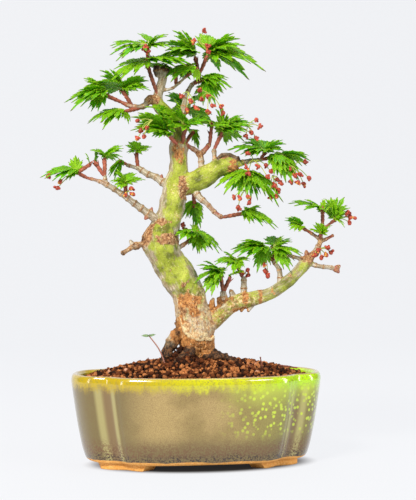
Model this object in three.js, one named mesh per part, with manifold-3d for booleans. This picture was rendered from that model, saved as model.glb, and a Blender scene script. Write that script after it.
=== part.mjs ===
// A Japanese maple bonsai in a four-lobed pot, in millimetres.
// +Z is up, +X runs along the pot's length and -Y is the front.
import * as THREE from 'three';
import { mergeVertices } from 'three/addons/utils/BufferGeometryUtils.js';
import Module from 'manifold-3d';

const wasm = await Module();
wasm.setup();

// ---------------------------------------------------------------- driving dimensions

const CLEARANCE = 0.3;            // gap kept between pieces that touch
const SMOOTHING = 0.1;           // slivers thinner than this are merged away after a cut
const UP = new THREE.Vector3(0, 0, 1);

// The pot's outline is four lobes: two round ones at the ends and two broad ones front and back.
const POT_SIDES = 48;             // a multiple of 8, so that a corner falls on each groove
const END_LOBE = { centreX: 56, centreY: 0, halfX: 44, halfY: 44 };
const BROAD_LOBE = { centreX: 0, centreY: 31, halfX: 76, halfY: 27 };
const OUTLINE_REACH = { x: 100, y: 58 };
const GROOVE = { depth: 4.8, halfWidth: 0.02 };  // where lobes meet, an eighth of a turn from each end
const TABLE = -4.6;               // heights count from a level this far above the table
const POT_BASE = 0.4;             // height of the underside
const POT_FLOOR = 6.4;            // height of the floor inside
const SOIL_EDGE = 65;             // height of the soil at the wall
const GRIT_TOP = 16;
const DRAIN = { x: 42, radius: 7 };
const FOOT = { from: 40, to: 78, slant: 3, outerInset: 17, innerInset: 29, overlap: 1 };

// Wall stations as [inset from the outline, height].
const OUTER_WALL = [[14, POT_BASE], [11, 3], [8, 13], [5, 28], [2, 47], [0, 62], [0.8, 66.5], [3, 68]];
const INNER_WALL = [[5.2, 66.5], [6.4, 62], [11.4, 28], [15, 11], [19, POT_FLOOR]];

// Mound stations as [share of the outline, height].
const MOUND = [[0.8, 69], [0.5, 75], [0.24, 79]];

const SCREEN = { length: 34, width: 26, thickness: 1 };
const WIRE = { radius: 0.8, halfSpan: 4.5, legReach: 20 };

// A leaf blade: lobe directions in degrees, lobe lengths as shares of the blade, and how deep the notches go.
const LOBES = [[-52, 0.78], [0, 1], [52, 0.78]];
const NOTCH = 0.3;
const BLADE_THICKNESS = 0.8;
const STALK_HALF_WIDTH = 0.8;
const SHEATH_RADIUS = 1.8;
const NECK_RADIUS = 3;
const SAG = 0.22;                 // drop of the blade's tip below its first direction, per length
const FACE_TILT = 0.8;            // lean of the blade's upper face towards its nearer side
const PEDICEL_RADIUS = 0.45;
const BUD_RADIUS = 1.9;
const FLOWER_HUB_RADIUS = 1.6;

// ---------------------------------------------------------------- the tree's wood

// Each limb is a row of stations [x, y, z, radius] from its root to its end.
const TRUNK = [
  [6, 0, 60, 9], [6, 0, 74, 9.5], [5, 0, 82, 10], [2, 0, 90, 13], [0, 0, 96, 14.6], [-1, 0, 106, 15.4],
  [-4.4, 0, 118, 13.2], [-7.6, 0, 131, 13.2], [-14, 0, 143, 14], [-22.4, 0, 155, 12.8],
  [-28.4, -1, 167, 14.2], [-29.2, -1, 173.5, 14.6], [-26.8, 0, 180, 12.2], [-22, 0, 192, 10.2],
  [-19.2, 0, 204, 10.4], [-18.4, 0, 216, 8.6], [-14.8, 0, 228, 7.6], [-15.2, 0, 241, 7.2],
  [-15, 0, 249, 7.6], [-15.6, 0, 258, 5.4], [-19, 0, 266, 4.8], [-25, 0, 273.5, 5.4], [-30, 0, 279, 5.2],
  [-31.6, 0, 284, 4.2], [-30.8, 0, 291, 3.7], [-27.6, 0, 301, 3.5], [-26, 0, 309, 2.8],
];

const LIMBS = {
  upperRight: [[-16, 0, 216, 9], [-4.8, -2, 218.6, 8.8], [5.6, -4, 223.4, 8.4], [15.6, -7, 229.8, 7.6],
    [23.2, -9, 232.6, 7.2], [30.4, -10, 232, 5.6]],
  upperTwigLeft: [[3.2, -3, 229, 2.6], [1.6, -3, 241, 2.2], [-7.2, -4, 247.4, 1.6], [-12, -5, 250.5, 1.4]],
  upperTwigRight: [[1.6, -3, 240, 2], [7.2, -4, 246.6, 1.8], [9.6, -4, 250, 1.5]],
  upperStub: [[13.6, -6, 234, 2], [12.8, -5, 245.5, 1.7]],
  rightTwig: [[28, -10, 233, 2.6], [42.4, -8, 236.2, 1.7], [52, -7, 237.4, 1.3]],
  drooping: [[-3, -3, 214, 3], [0.8, -6, 207, 2.6], [7.2, -9, 201, 2], [12.8, -11, 194.6, 1.9],
    [18.4, -12, 190.6, 1.8]],
  lowerRight: [[0, 0, 101, 7.5], [10.4, -1, 107, 7.2], [18.4, -3, 114.2, 6.6], [28.8, -5, 122.4, 6.4],
    [40.8, -7, 125.4, 6.5], [54.4, -9, 128.8, 5.3], [65.6, -10, 135, 4.8], [76.8, -12, 144.6, 4.9],
    [88, -13, 157, 4.9]],
  lowerStub: [[22, -4, 119, 3], [20, -6, 132, 2.4]],
  lowerTwigNear: [[36.8, -6, 127, 2.6], [36.8, -6, 143.4, 2]],
  lowerTwigMiddle: [[65.6, -10, 137, 2.4], [64.8, -10, 149, 1.9], [59.6, -9, 156.5, 1.5]],
  lowerTwigDry: [[86, -12, 157, 2], [73, -12, 160.2, 1.4], [64, -10, 162, 1.1]],
  endTwigUp: [[88, -13, 155, 2.6], [96.8, -12, 169, 2], [98.6, -12, 177, 1.6], [100, -12, 187, 1.3]],
  endTwigLow: [[87, -13, 155, 2.4], [96, -14, 152.2, 1.8], [106, -15, 151, 1.7], [110.4, -15, 149.6, 2]],
  endTwigSide: [[97.6, -12, 171, 1.4], [108.8, -13, 177, 1.2]],
  endTwigRight: [[99.4, -12, 181, 1.3], [106.4, -12, 186.4, 1.2]],
  endTwigLeft: [[98, -12, 173.6, 1.4], [87, -13, 180.6, 1.2]],
  lowerLeft: [[-24, 0, 185, 5], [-32, -3, 188.6, 3.7], [-40, -5, 194, 3.1], [-51.2, -8, 201.8, 2.7],
    [-62.4, -9, 209.8, 2.3], [-73, -10, 216.2, 2.2], [-81, -10, 219.4, 1.4], [-89, -10, 221.4, 1.2]],
  lowerLeftTwig: [[-73.6, -10, 215, 1.7], [-74.4, -9, 223.6, 1.5]],
  upperLeft: [[-20, 1, 213, 3.4], [-32, 5, 222.6, 2.8], [-39.2, 7, 225.8, 2.4], [-46.4, 9, 230.8, 2]],
  upperLeftTwig: [[-45.6, 9, 230.2, 1.4], [-56, 8, 233, 1.5]],
  leftStub: [[-36, -2, 169, 4.6], [-48.8, -5, 168.2, 3.6], [-56, -6, 165.8, 2.9], [-60.8, -6, 162, 2.4]],
  crownLeft: [[-31, 0, 281, 3.8], [-37.6, -1, 285, 3.2], [-43, -3, 278.8, 2.3], [-52.8, -5, 278.2, 1.9],
    [-61, -5, 281.2, 1.5]],
  crownTwig: [[-29, 0, 292, 1.4], [-20, -1, 293.8, 1.2], [-9, -2, 303.2, 1.1]],
  crownRight: [[-16, 1, 260, 2.8], [-10.4, 4, 278.6, 2.4], [-8, 5, 289, 2], [-3.2, 6, 297.8, 1.8],
    [2.4, 6, 302.6, 1.6], [2.8, 6, 309, 1.5]],
  trunkTwig: [[-16, -2, 166, 2], [-9, 2, 170.5, 1.6], [-4.6, 4, 173.6, 1.3]],
  rootLeft: [[-10, -3, 101, 4.5], [-19.5, -4, 91, 3.6], [-22.4, -5, 84, 3.6], [-25, -6, 78, 4.2],
    [-34, -8, 68, 3.6]],
  rootFrontLeft: [[-2, -6, 90, 6], [-10, -12, 82, 5.6], [-17, -16, 76, 4.8], [-30, -22, 66, 3]],
  rootRight: [[8, -3, 84, 6], [18, -7, 79, 4.6], [28, -9, 75.5, 3], [40, -11, 68, 2]],
  rootBack: [[4, 4, 82, 6], [8, 16, 76, 4.6], [12, 30, 66, 3]],
};

// Roots below the surface leave the trunk's foot all round.
const HIDDEN_ROOTS = { count: 5, reach: 34, drop: 22, startHeight: 66, startRadius: 4.4, endRadius: 1.8 };

// ---------------------------------------------------------------- leaves and flowers

// A sprig is { base, neck, leaves }: its red sheath runs from base to neck. Each leaf is [x, y, z, length]
// with the point where its middle lobe ends and the length of its blade.
const SHOOTS = {
  leaves_apex_left: [
    { base: [-32, -2, 288], neck: [-40.8, -6, 311.4], leaves: [[-68, -12, 302, 28], [-6, -14, 312, 34]] },
    { base: [-40.6, -6, 310], neck: [-40, -6, 324], leaves: [[-68, -8, 328, 21], [-67, -18, 319, 22],
      [-28, -10, 336, 19], [-37.6, 10, 338, 14], [-25, -16, 326, 18]] },
  ],
  leaves_apex_middle: [
    { base: [-17, 0, 296], neck: [-16.8, 2, 305], leaves: [[-36, 16, 315, 22], [0, 16, 314, 20]] },
  ],
  leaves_crown_twig: [
    { base: [-9, -2, 303], neck: [-3, -3, 309], leaves: [[-26, -9, 303, 22], [-1, -9, 299, 12]] },
  ],
  leaves_crown_right: [
    { base: [2, 6, 308], neck: [-0.8, 5, 320], leaves: [[-14, 6, 341, 20], [-30, 2, 321, 30],
      [-24, 14, 332, 24], [-21, -12, 325, 22]] },
    { base: [3.6, 6, 308], neck: [8.8, 4, 321], leaves: [[34, 8, 337, 27], [49, -4, 317, 36],
      [33, -14, 329, 26], [14, 18, 341, 20], [40, 10, 313, 30]] },
  ],
  leaves_right_fan: [
    { base: [-3, 6, 298], neck: [5, 4, 301.6], leaves: [[25.6, 2, 304, 21], [25.6, -9, 295, 22],
      [20, 12, 291, 20], [13.6, -6, 284, 16]] },
  ],
  leaves_left_fan_outer: [
    { base: [-60, -5, 281], neck: [-74, -8, 286.6], leaves: [[-102.4, -8, 285, 30], [-99, -20, 278.6, 26],
      [-87, 8, 299, 20], [-85, -14, 274.6, 14]] },
  ],
  leaves_left_fan_inner: [
    { base: [-52, -5, 278], neck: [-60, -6, 290], leaves: [[-73.6, -4, 306.6, 18], [-41, -5, 299.4, 25],
      [-40, -16, 291, 24], [-63, 12, 302, 18], [-88, 0, 294, 27]] },
  ],
  leaves_left_under: [
    { base: [-46, -4, 277], neck: [-60, -10, 273.4], leaves: [[-87, -12, 265.8, 22],
      [-76, -20, 263.4, 17], [-56, -16, 264, 10]] },
  ],
  leaves_centre_left: [
    { base: [-16, -5, 248], neck: [-25, -12, 255.4], leaves: [[-53, -14, 260, 30], [-51, -8, 271, 28],
      [-37.6, -24, 257.8, 20], [-31, -18, 279, 20]] },
  ],
  leaves_centre_mid: [
    { base: [-12.5, -6, 249], neck: [-11.2, -12, 261], leaves: [[-38, -12, 280, 26],
      [-17.6, -15, 283, 20], [6.4, -16, 270.6, 20], [-25.6, -24, 263, 18]] },
  ],
  leaves_centre_back: [
    { base: [-11, 5, 274], neck: [-6, 12, 278], leaves: [[-21.6, 18, 291, 18], [6.4, 18, 292, 17],
      [13.6, 26, 275, 20], [-26, 24, 270, 20]] },
  ],
  leaves_centre_hollow: [
    { base: [-10, -5, 249.5], neck: [-2, 8, 260], leaves: [[2, 10, 247, 14], [-8, 22, 262, 15]] },
  ],
  leaves_right_mass: [
    { base: [12.8, -5, 244.6], neck: [19.2, -6, 258.6], leaves: [[19.2, 0, 280, 19], [42.4, -8, 268, 26],
      [33, 8, 274.6, 20], [37, -18, 260, 18], [34, 8, 255, 18]] },
  ],
  leaves_right_mass_inner: [
    { base: [9.6, -4, 249], neck: [10.4, -8, 262], leaves: [[-6, -14, 267, 16], [23, -18, 264, 16],
      [4, 6, 275, 14]] },
  ],
  leaves_right_upper: [
    { base: [50, -7, 237], neck: [53, -8, 242], leaves: [[27, -14, 248, 28], [56.8, 4, 255, 16],
      [70.4, -4, 251, 21], [42.4, 8, 253, 18], [38.4, -24, 243, 18]] },
  ],
  leaves_right_outer: [
    { base: [51.6, -7, 237.2], neck: [61.6, -8, 240], leaves: [[91, -4, 238, 22], [82.4, -14, 226.6, 26],
      [72.8, -22, 221.8, 22], [62.4, -26, 227, 18]] },
  ],
  leaves_right_lower: [
    { base: [31, -11, 229], neck: [37, -16, 225], leaves: [[13, -24, 214.6, 26], [45, -24, 206.6, 22],
      [28.8, -28, 208, 20], [65.6, -18, 207, 26], [52, -8, 219, 18]] },
  ],
  leaves_drooping_end: [
    { base: [18, -12, 190.8], neck: [35.2, -14, 194], leaves: [[61.6, -15, 186, 25],
      [42.4, -22, 186.6, 11], [49.6, -8, 199.4, 14]] },
  ],
  leaves_behind_trunk: [
    { base: [-2.4, 3, 212], neck: [-1, 9, 202], leaves: [[2.4, 14, 183.4, 17], [-10.4, 17, 192, 15],
      [6.4, 6, 197, 12]] },
  ],
  leaves_trunk_right: [
    { base: [-5, 4, 173.4], neck: [-1, 5, 178], leaves: [[20, 2, 167, 23], [1, 10, 186, 12],
      [-15.2, -16, 176, 17], [7, -6, 163.4, 17]] },
  ],
  leaves_left_tip: [
    { base: [-88, -10, 221.2], neck: [-96, -11, 225], leaves: [[-121.6, -12, 225, 24],
      [-98.4, -10, 237, 12], [-104.8, -15, 219.4, 9]] },
    { base: [-95, -11, 225.4], neck: [-86.4, -9, 231.6], leaves: [[-88.4, -12, 240, 9]] },
  ],
  leaves_left_mid: [
    { base: [-74.4, -9, 222.6], neck: [-74.4, -10, 237], leaves: [[-61.6, -13, 247, 19],
      [-84, -16, 243.4, 16], [-60.8, -9, 238, 15]] },
    { base: [-75, -9, 223], neck: [-81.6, -9, 233], leaves: [[-80, -5, 244, 12]] },
  ],
  leaves_left_branch: [
    { base: [-57.6, -9, 206], neck: [-58.4, -10, 216], leaves: [[-46.4, -14, 221.8, 15],
      [-69, -12, 220, 15], [-64, -4, 229, 14], [-65.6, -20, 213.8, 11], [-52.8, -4, 227, 12]] },
  ],
  leaves_upper_left: [
    { base: [-46.4, 9, 230], neck: [-48, 8, 242.4], leaves: [[-37.6, 8, 249, 15], [-55.2, 5, 243.4, 11],
      [-50.4, 0, 252, 11]] },
  ],
  leaves_upper_left_side: [
    { base: [-55, 8, 233], neck: [-59, 8, 235], leaves: [[-69.6, 5, 223.4, 17]] },
  ],
  leaves_limb_near_left: [
    { base: [20, -6, 131], neck: [17.6, -8, 146], leaves: [[-2.4, -12, 142.6, 22], [-1, -16, 153, 20],
      [4, -18, 132, 17], [9, 6, 155, 15]] },
    { base: [20.4, -6, 131], neck: [25.6, -8, 144], leaves: [[34.4, -16, 148, 13]] },
  ],
  leaves_limb_near_top: [
    { base: [36, -6, 142.6], neck: [30.4, -6, 155], leaves: [[40.8, -8, 158.6, 13], [14.4, -12, 156, 20],
      [23.2, 4, 164, 15], [25.6, -20, 150, 15]] },
  ],
  leaves_limb_middle: [
    { base: [60, -9, 156], neck: [53, -10, 165], leaves: [[27, -12, 165, 27], [31, -1, 169, 24],
      [45, 6, 173, 15], [37, -22, 162, 19], [45.6, -16, 151.4, 14]] },
    { base: [60.2, -9, 155.6], neck: [61, -9, 165], leaves: [[84, -12, 162.6, 25], [75, 0, 174, 19],
      [63, 6, 177, 15], [71, -19, 151.4, 17]] },
  ],
  leaves_end_centre: [
    { base: [98, -12, 173.6], neck: [97.8, -14, 176.8], leaves: [[88.8, -18, 182, 12],
      [104.8, -10, 185, 12], [97, -22, 186.6, 13]] },
  ],
  leaves_end_top: [
    { base: [100, -12, 186], neck: [100, -12, 195], leaves: [[74.4, -14, 204, 27], [101, -8, 206, 13],
      [105.6, -15, 200, 11]] },
  ],
  leaves_end_right: [
    { base: [105.6, -12, 185.8], neck: [110, -12, 189], leaves: [[111, -13, 207.4, 18],
      [105.6, -6, 205.8, 15], [118.4, -14, 201, 15], [115, -20, 185.8, 11]] },
  ],
  leaves_end_left: [
    { base: [88, -13, 180], neck: [82.4, -13, 183], leaves: [[71, -12, 191.4, 15],
      [72, -20, 182.6, 13]] },
  ],
};

// A flower cluster is { base, buds }: thin stalks run from base to each bud at [x, y, z].
const FLOWERS = {
  flowers_crown_left: { base: [-40, -12, 317], buds: [[-44, -14, 322.6], [-41.6, -14, 320.4],
    [-42.6, -13, 325]] },
  flowers_crown_right: { base: [1.6, -2, 330], buds: [[-4, -7, 330], [4.8, -5, 339.4], [7.2, -8, 326.6],
    [7.2, -9, 322]] },
  flowers_centre_left: { base: [-9.6, -16, 289], buds: [[-15.2, -18, 285], [-11.2, -20, 274.6],
    [-8.8, -22, 281.8], [-4, -20, 276.2]] },
  flowers_centre_right: { base: [7, -12, 289], buds: [[0, -14, 290.6], [5.6, -17, 286], [0.8, -17, 283.4],
    [9.6, -16, 278.6], [5.6, -18, 273.8], [16.8, -14, 277.8], [18.8, -14, 273.4]] },
  flowers_right_mass_tip: { base: [38.4, -12, 264], buds: [[46.4, -9, 269], [49.6, -9, 263.4],
    [41, -16, 257.8], [36.8, -16, 255.4], [45, -14, 254]] },
  flowers_left_pendant: { base: [-38, -20, 266], buds: [[-49.6, -18, 265.8], [-42.4, -20, 260.2],
    [-47.6, -20, 257.6], [-45, -22, 253], [-50, -20, 251.6]] },
  flowers_right_upper: { base: [42.4, -16, 236], buds: [[37.6, -22, 241], [35.2, -24, 229.8],
    [37.2, -24, 225], [45.6, -22, 230.6], [52, -20, 232], [56, -20, 227], [52.8, -22, 222.6]] },
  flowers_right_lower: { base: [57.6, -18, 224], buds: [[61, -20, 220.6], [64.4, -20, 217.4],
    [59, -20, 216], [62.4, -20, 212.6], [60, -20, 207.4], [56, -20, 206.6]] },
  flowers_right_outer: { base: [72.8, -14, 233], buds: [[72, -18, 229], [76, -18, 223.6], [80, -18, 225],
    [78.4, -18, 218.6], [72.8, -18, 219.4]] },
  flowers_right_far: { base: [75, -9, 231.6], buds: [[86.4, -9, 235.4], [89, -11, 222.6],
    [84.8, -11, 217.8]] },
  flowers_lower_group: { base: [34.4, -24, 212], buds: [[25, -27, 206.4], [29.6, -28, 205],
    [36, -27, 206.6], [37.4, -26, 202], [28.8, -24, 198.4]] },
  flowers_left_tip: { base: [-97.6, -12, 223.4], buds: [[-118.4, -14, 222], [-109.6, -14, 217.6],
    [-111.4, -14, 213]] },
  flowers_left_branch: { base: [-56.6, -13, 210.6], buds: [[-58.8, -17, 207.4], [-52.8, -16, 208.4],
    [-54.2, -14, 213]] },
  flowers_trunk_right: { base: [-6, 8, 179], buds: [[-10.4, 11, 185], [-7.2, 12, 181.4]] },
  flowers_limb_near: { base: [37, -6, 146], buds: [[39.6, -8, 149], [35, -9, 147.4], [40.6, -6, 145]] },
  flowers_limb_middle: { base: [53, -13, 160], buds: [[51.2, -15, 153.8], [52.8, -13, 148.2],
    [54.8, -13, 144.2]] },
  flowers_end_low: { base: [96.8, -15, 166], buds: [[92, -19, 161], [94.4, -19, 165], [97, -19, 158.6],
    [101.6, -17, 161], [103.6, -15, 166.6], [106.4, -13, 163]] },
  flowers_end_right: { base: [112.8, -12, 190], buds: [[119.2, -16, 194.6], [122.4, -14, 191.2],
    [121.4, -15, 187], [126.4, -13, 190.6]] },
};

const SEEDLING = {
  foot: [-27, -14, 74],
  head: [-40, -15, 97.6],
  stemRadius: 0.6,
  leafLength: 5,
  leafHalfWidth: 1.4,
  leafThickness: 0.6,
};
const FALLEN_TWIG = [[62, -22, 74.6, 0.7], [67, -23, 73.4, 0.8], [76, -25, 72, 0.6]];

// ---------------------------------------------------------------- materials

function finish(colour, roughness, metalness = 0) {
  return new THREE.MeshStandardMaterial({ color: colour, roughness, metalness });
}

const GLAZE = finish('#b4a070', 0.2);
const EARTH = finish('#7a4a2a', 1);
const GRIT = finish('#8b8378', 1);
const BARK = finish('#a89a55', 0.85);
const LEAF = finish('#4b9018', 0.55);
const RED_BUD = finish('#c23a2c', 0.5);
const SEEDLING_GREEN = finish('#7c9b4a', 0.6);
const DRY_TWIG = finish('#6d4a3c', 0.9);
const SCREEN_PLASTIC = finish('#2c2e2b', 0.6);
const WIRE_METAL = finish('#8c6a4a', 0.4, 0.9);

// ---------------------------------------------------------------- solids and meshes

function toSolid(geometry) {
  const bare = geometry.index ? geometry.toNonIndexed() : geometry.clone();
  bare.deleteAttribute('normal');
  bare.deleteAttribute('uv');
  const merged = mergeVertices(bare, 1e-4);
  return new wasm.Manifold(new wasm.Mesh({
    numProp: 3,
    vertProperties: new Float32Array(merged.attributes.position.array),
    triVerts: new Uint32Array(merged.index.array),
  }));
}

function toGeometry(solid) {
  const { vertProperties, triVerts } = solid.getMesh();
  const geometry = new THREE.BufferGeometry();
  geometry.setAttribute('position', new THREE.BufferAttribute(vertProperties, 3));
  geometry.setIndex(new THREE.BufferAttribute(triVerts, 1));
  geometry.computeVertexNormals();
  return geometry;
}

function joined(solids) {
  return solids.reduce((whole, piece) => whole.add(piece));
}

function largestPiece(solid) {
  const pieces = solid.decompose();
  return pieces.reduce((best, piece) => (piece.volume() > best.volume() ? piece : best));
}

function boxesMeet(one, other) {
  const a = one.boundingBox();
  const b = other.boundingBox();
  return [0, 1, 2].every((axis) => a.min[axis] < b.max[axis] && b.min[axis] < a.max[axis]);
}

function vector([x, y, z]) {
  return new THREE.Vector3(x, y, z);
}

// A round bar that follows stations [x, y, z, radius]: a cylinder bent along the curve through them.
function bentBar(stations, sides, rings, grow = 0) {
  const curve = new THREE.CatmullRomCurve3(stations.map(vector));
  const frames = curve.computeFrenetFrames(rings, false);
  const geometry = new THREE.CylinderGeometry(1, 1, 1, sides, rings);
  const position = geometry.attributes.position;
  for (let index = 0; index < position.count; index += 1) {
    const share = position.getY(index) + 0.5;
    const ring = Math.round(share * rings);
    const place = curve.getUtoTmapping(share) * (stations.length - 1);
    const from = Math.min(Math.floor(place), stations.length - 2);
    const radius = THREE.MathUtils.lerp(stations[from][3], stations[from + 1][3], place - from) + grow;
    const point = curve.getPointAt(share)
      .addScaledVector(frames.tangents[ring], grow * (2 * share - 1))
      .addScaledVector(frames.normals[ring], position.getX(index) * radius)
      .addScaledVector(frames.binormals[ring], -position.getZ(index) * radius);
    position.setXYZ(index, point.x, point.y, point.z);
  }
  return toSolid(geometry);
}

// A short tapered peg between two points.
function peg(from, to, startRadius, endRadius, sides, grow = 0) {
  return bentBar([[...from, startRadius], [...to, endRadius]], sides, 1, grow);
}

// ---------------------------------------------------------------- the pot and what lies in it

// Distance from the axis to the edge of one elliptical lobe along a direction, or 0 where it is missed.
function lobeReach(lobe, sideX, sideY, cosine, sine) {
  const centreX = lobe.centreX * sideX;
  const centreY = lobe.centreY * sideY;
  const a = (cosine / lobe.halfX) ** 2 + (sine / lobe.halfY) ** 2;
  const b = -2 * ((centreX * cosine) / lobe.halfX ** 2 + (centreY * sine) / lobe.halfY ** 2);
  const c = (centreX / lobe.halfX) ** 2 + (centreY / lobe.halfY) ** 2 - 1;
  const root = b * b - 4 * a * c;
  return root < 0 ? 0 : (Math.sqrt(root) - b) / (2 * a);
}

// The outline's point at a share of the way round, as a direction and a distance from the axis.
function outlineAt(turn) {
  const angle = turn * 2 * Math.PI;
  const across = OUTLINE_REACH.x * Math.cos(angle);
  const deep = OUTLINE_REACH.y * Math.sin(angle);
  const size = Math.hypot(across, deep);
  const cosine = across / size;
  const sine = deep / size;
  const reach = Math.max(
    lobeReach(END_LOBE, 1, 1, cosine, sine),
    lobeReach(END_LOBE, -1, 1, cosine, sine),
    lobeReach(BROAD_LOBE, 1, 1, cosine, sine),
    lobeReach(BROAD_LOBE, 1, -1, cosine, sine),
  );
  const quarters = turn * 4 - 0.5;
  const fromGroove = (quarters - Math.round(quarters)) / 4;
  return { cosine, sine, reach: reach - GROOVE.depth * Math.exp(-((fromGroove / GROOVE.halfWidth) ** 2)) };
}

// A turned solid whose rings { share, inset, z } follow the four-lobed outline instead of a circle.
function lobedLathe(rings) {
  const profile = rings.map(({ share, z }) => new THREE.Vector2(share, z));
  const geometry = new THREE.LatheGeometry(profile, POT_SIDES);
  const position = geometry.attributes.position;
  for (let index = 0; index < position.count; index += 1) {
    const ring = rings[index % rings.length];
    const turn = (Math.floor(index / rings.length) % POT_SIDES) / POT_SIDES;
    const { cosine, sine, reach } = outlineAt(turn);
    const distance = ring.share === 0 ? 0 : reach * ring.share - ring.inset;
    position.setXYZ(index, cosine * distance, sine * distance, ring.z);
  }
  return toSolid(geometry);
}

function onAxis(z) {
  return { share: 0, inset: 0, z };
}

function wallRing([inset, z]) {
  return { share: 1, inset, z };
}

function innerInset(height) {
  const above = INNER_WALL.findIndex(([, z]) => z <= height);
  const [upperInset, upperZ] = INNER_WALL[Math.max(above - 1, 0)];
  const [lowerInset, lowerZ] = INNER_WALL[above];
  if (upperZ === lowerZ) {
    return lowerInset;
  }
  return THREE.MathUtils.lerp(lowerInset, upperInset, (height - lowerZ) / (upperZ - lowerZ));
}

// A cylinder standing on the table's direction, used for the drain holes.
function upright(radius, fromZ, toZ, x, sides) {
  const geometry = new THREE.CylinderGeometry(radius, radius, toZ - fromZ, sides);
  geometry.rotateX(Math.PI / 2);
  geometry.translate(x, 0, (fromZ + toZ) / 2);
  return toSolid(geometry);
}

// A bar across the pot with slanting ends, which keeps only the corner feet of the foot ring.
function footKeeper(side) {
  const shape = new THREE.Shape();
  const top = POT_BASE + 2 * FOOT.overlap;
  shape.moveTo(FOOT.from + FOOT.slant, TABLE - 1);
  shape.lineTo(FOOT.to - FOOT.slant / 2, TABLE - 1);
  shape.lineTo(FOOT.to, top);
  shape.lineTo(FOOT.from, top);
  shape.closePath();
  const depth = 2 * OUTLINE_REACH.y;
  const geometry = new THREE.ExtrudeGeometry(shape, { depth, bevelEnabled: false });
  geometry.rotateX(Math.PI / 2);
  geometry.translate(0, depth / 2, 0);
  if (side < 0) {
    geometry.rotateZ(Math.PI);
  }
  return toSolid(geometry);
}

function buildPot() {
  const body = lobedLathe([onAxis(POT_BASE), ...OUTER_WALL.map(wallRing), ...INNER_WALL.map(wallRing),
    onAxis(POT_FLOOR)]);
  const footTop = POT_BASE + FOOT.overlap;
  const ring = lobedLathe([
    onAxis(TABLE),
    wallRing([FOOT.outerInset + 1, TABLE]),
    wallRing([FOOT.outerInset, footTop]),
    onAxis(footTop),
  ]);
  const hollow = lobedLathe([
    onAxis(TABLE - 1),
    wallRing([FOOT.innerInset, TABLE - 1]),
    wallRing([FOOT.innerInset, POT_BASE]),
    onAxis(POT_BASE),
  ]);
  const feet = [1, -1].map((side) => ring.subtract(hollow).intersect(footKeeper(side)));
  const holes = [1, -1].map((side) => upright(DRAIN.radius, TABLE, POT_FLOOR + 1, side * DRAIN.x, 20));
  return joined([body, ...feet]).subtract(joined(holes));
}

function buildGrit() {
  const bottom = POT_FLOOR + CLEARANCE;
  return lobedLathe([
    onAxis(bottom),
    wallRing([innerInset(bottom) + CLEARANCE, bottom]),
    wallRing([innerInset(14) + CLEARANCE, 14]),
    wallRing([innerInset(GRIT_TOP) + CLEARANCE, GRIT_TOP]),
    onAxis(GRIT_TOP),
  ]);
}

function buildSoil() {
  const bottom = GRIT_TOP + CLEARANCE;
  const walls = [bottom, 28, 62, SOIL_EDGE].map((z) => wallRing([innerInset(z) + CLEARANCE, z]));
  const mound = MOUND.map(([share, z]) => ({ share, inset: 0, z }));
  return lobedLathe([onAxis(bottom), ...walls, ...mound, onAxis(MOUND.at(-1)[1])]);
}

function buildScreen(side) {
  return (grow) => {
    const geometry = new THREE.BoxGeometry(
      SCREEN.length + 2 * grow, SCREEN.width + 2 * grow, SCREEN.thickness + 2 * grow);
    geometry.translate(side * DRAIN.x, 0, POT_FLOOR + CLEARANCE + SCREEN.thickness / 2);
    return toSolid(geometry);
  };
}

// A wire bent over the screen, down through the hole and out along the pot's underside.
function buildClip(side) {
  const top = POT_FLOOR + SCREEN.thickness + 2 * CLEARANCE + WIRE.radius;
  const under = POT_BASE - CLEARANCE - WIRE.radius;
  const halfRoute = [[WIRE.legReach, under], [WIRE.halfSpan + 2, under], [WIRE.halfSpan, under + 2],
    [WIRE.halfSpan, top - 1], [WIRE.halfSpan - 1, top]];
  const route = [...halfRoute.map(([across, z]) => [-across, z]), ...halfRoute.toReversed()];
  const stations = route.map(([across, z]) => [side * DRAIN.x + across, 0, z, WIRE.radius]);
  return (grow) => bentBar(stations, 5, 16, grow);
}

// ---------------------------------------------------------------- the plant

function hiddenRoot(index) {
  const angle = ((index + 0.5) / HIDDEN_ROOTS.count) * 2 * Math.PI;
  const [footX, footY] = TRUNK[0];
  const station = (share, radius) => [
    footX + Math.cos(angle) * HIDDEN_ROOTS.reach * share,
    footY + Math.sin(angle) * HIDDEN_ROOTS.reach * share,
    HIDDEN_ROOTS.startHeight - HIDDEN_ROOTS.drop * share * share,
    radius,
  ];
  return [station(0.05, HIDDEN_ROOTS.startRadius), station(0.5, 3.2), station(1, HIDDEN_ROOTS.endRadius)];
}

function limbSides(stations) {
  return stations[0][3] > 6 ? 9 : 5;
}

function buildWood(grow) {
  const trunk = bentBar(TRUNK, 11, 22, grow);
  const limbs = Object.values(LIMBS).map((limb) => bentBar(limb, limbSides(limb), limb.length - 1, grow));
  const roots = Array.from(
    { length: HIDDEN_ROOTS.count },
    (_, index) => bentBar(hiddenRoot(index), 5, 2, grow),
  );
  return joined([trunk, ...limbs, ...roots]);
}

// The outline of a leaf laid flat along +Y: a narrow stalk up to the origin, then the lobes in a fan.
function leafOutline(stalkLength, bladeLength) {
  const points = [
    new THREE.Vector2(-STALK_HALF_WIDTH, -stalkLength),
    new THREE.Vector2(STALK_HALF_WIDTH, -stalkLength),
    new THREE.Vector2(STALK_HALF_WIDTH, 0),
  ];
  const addTowards = (degrees, share) => {
    const angle = THREE.MathUtils.degToRad(degrees);
    points.push(new THREE.Vector2(Math.sin(angle), Math.cos(angle)).multiplyScalar(share * bladeLength));
  };
  LOBES.toReversed().forEach(([degrees, share], index, lobes) => {
    addTowards(degrees, share);
    if (index < lobes.length - 1) {
      addTowards((degrees + lobes[index + 1][0]) / 2, NOTCH);
    }
  });
  points.push(new THREE.Vector2(-STALK_HALF_WIDTH, 0));
  return points;
}

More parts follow.
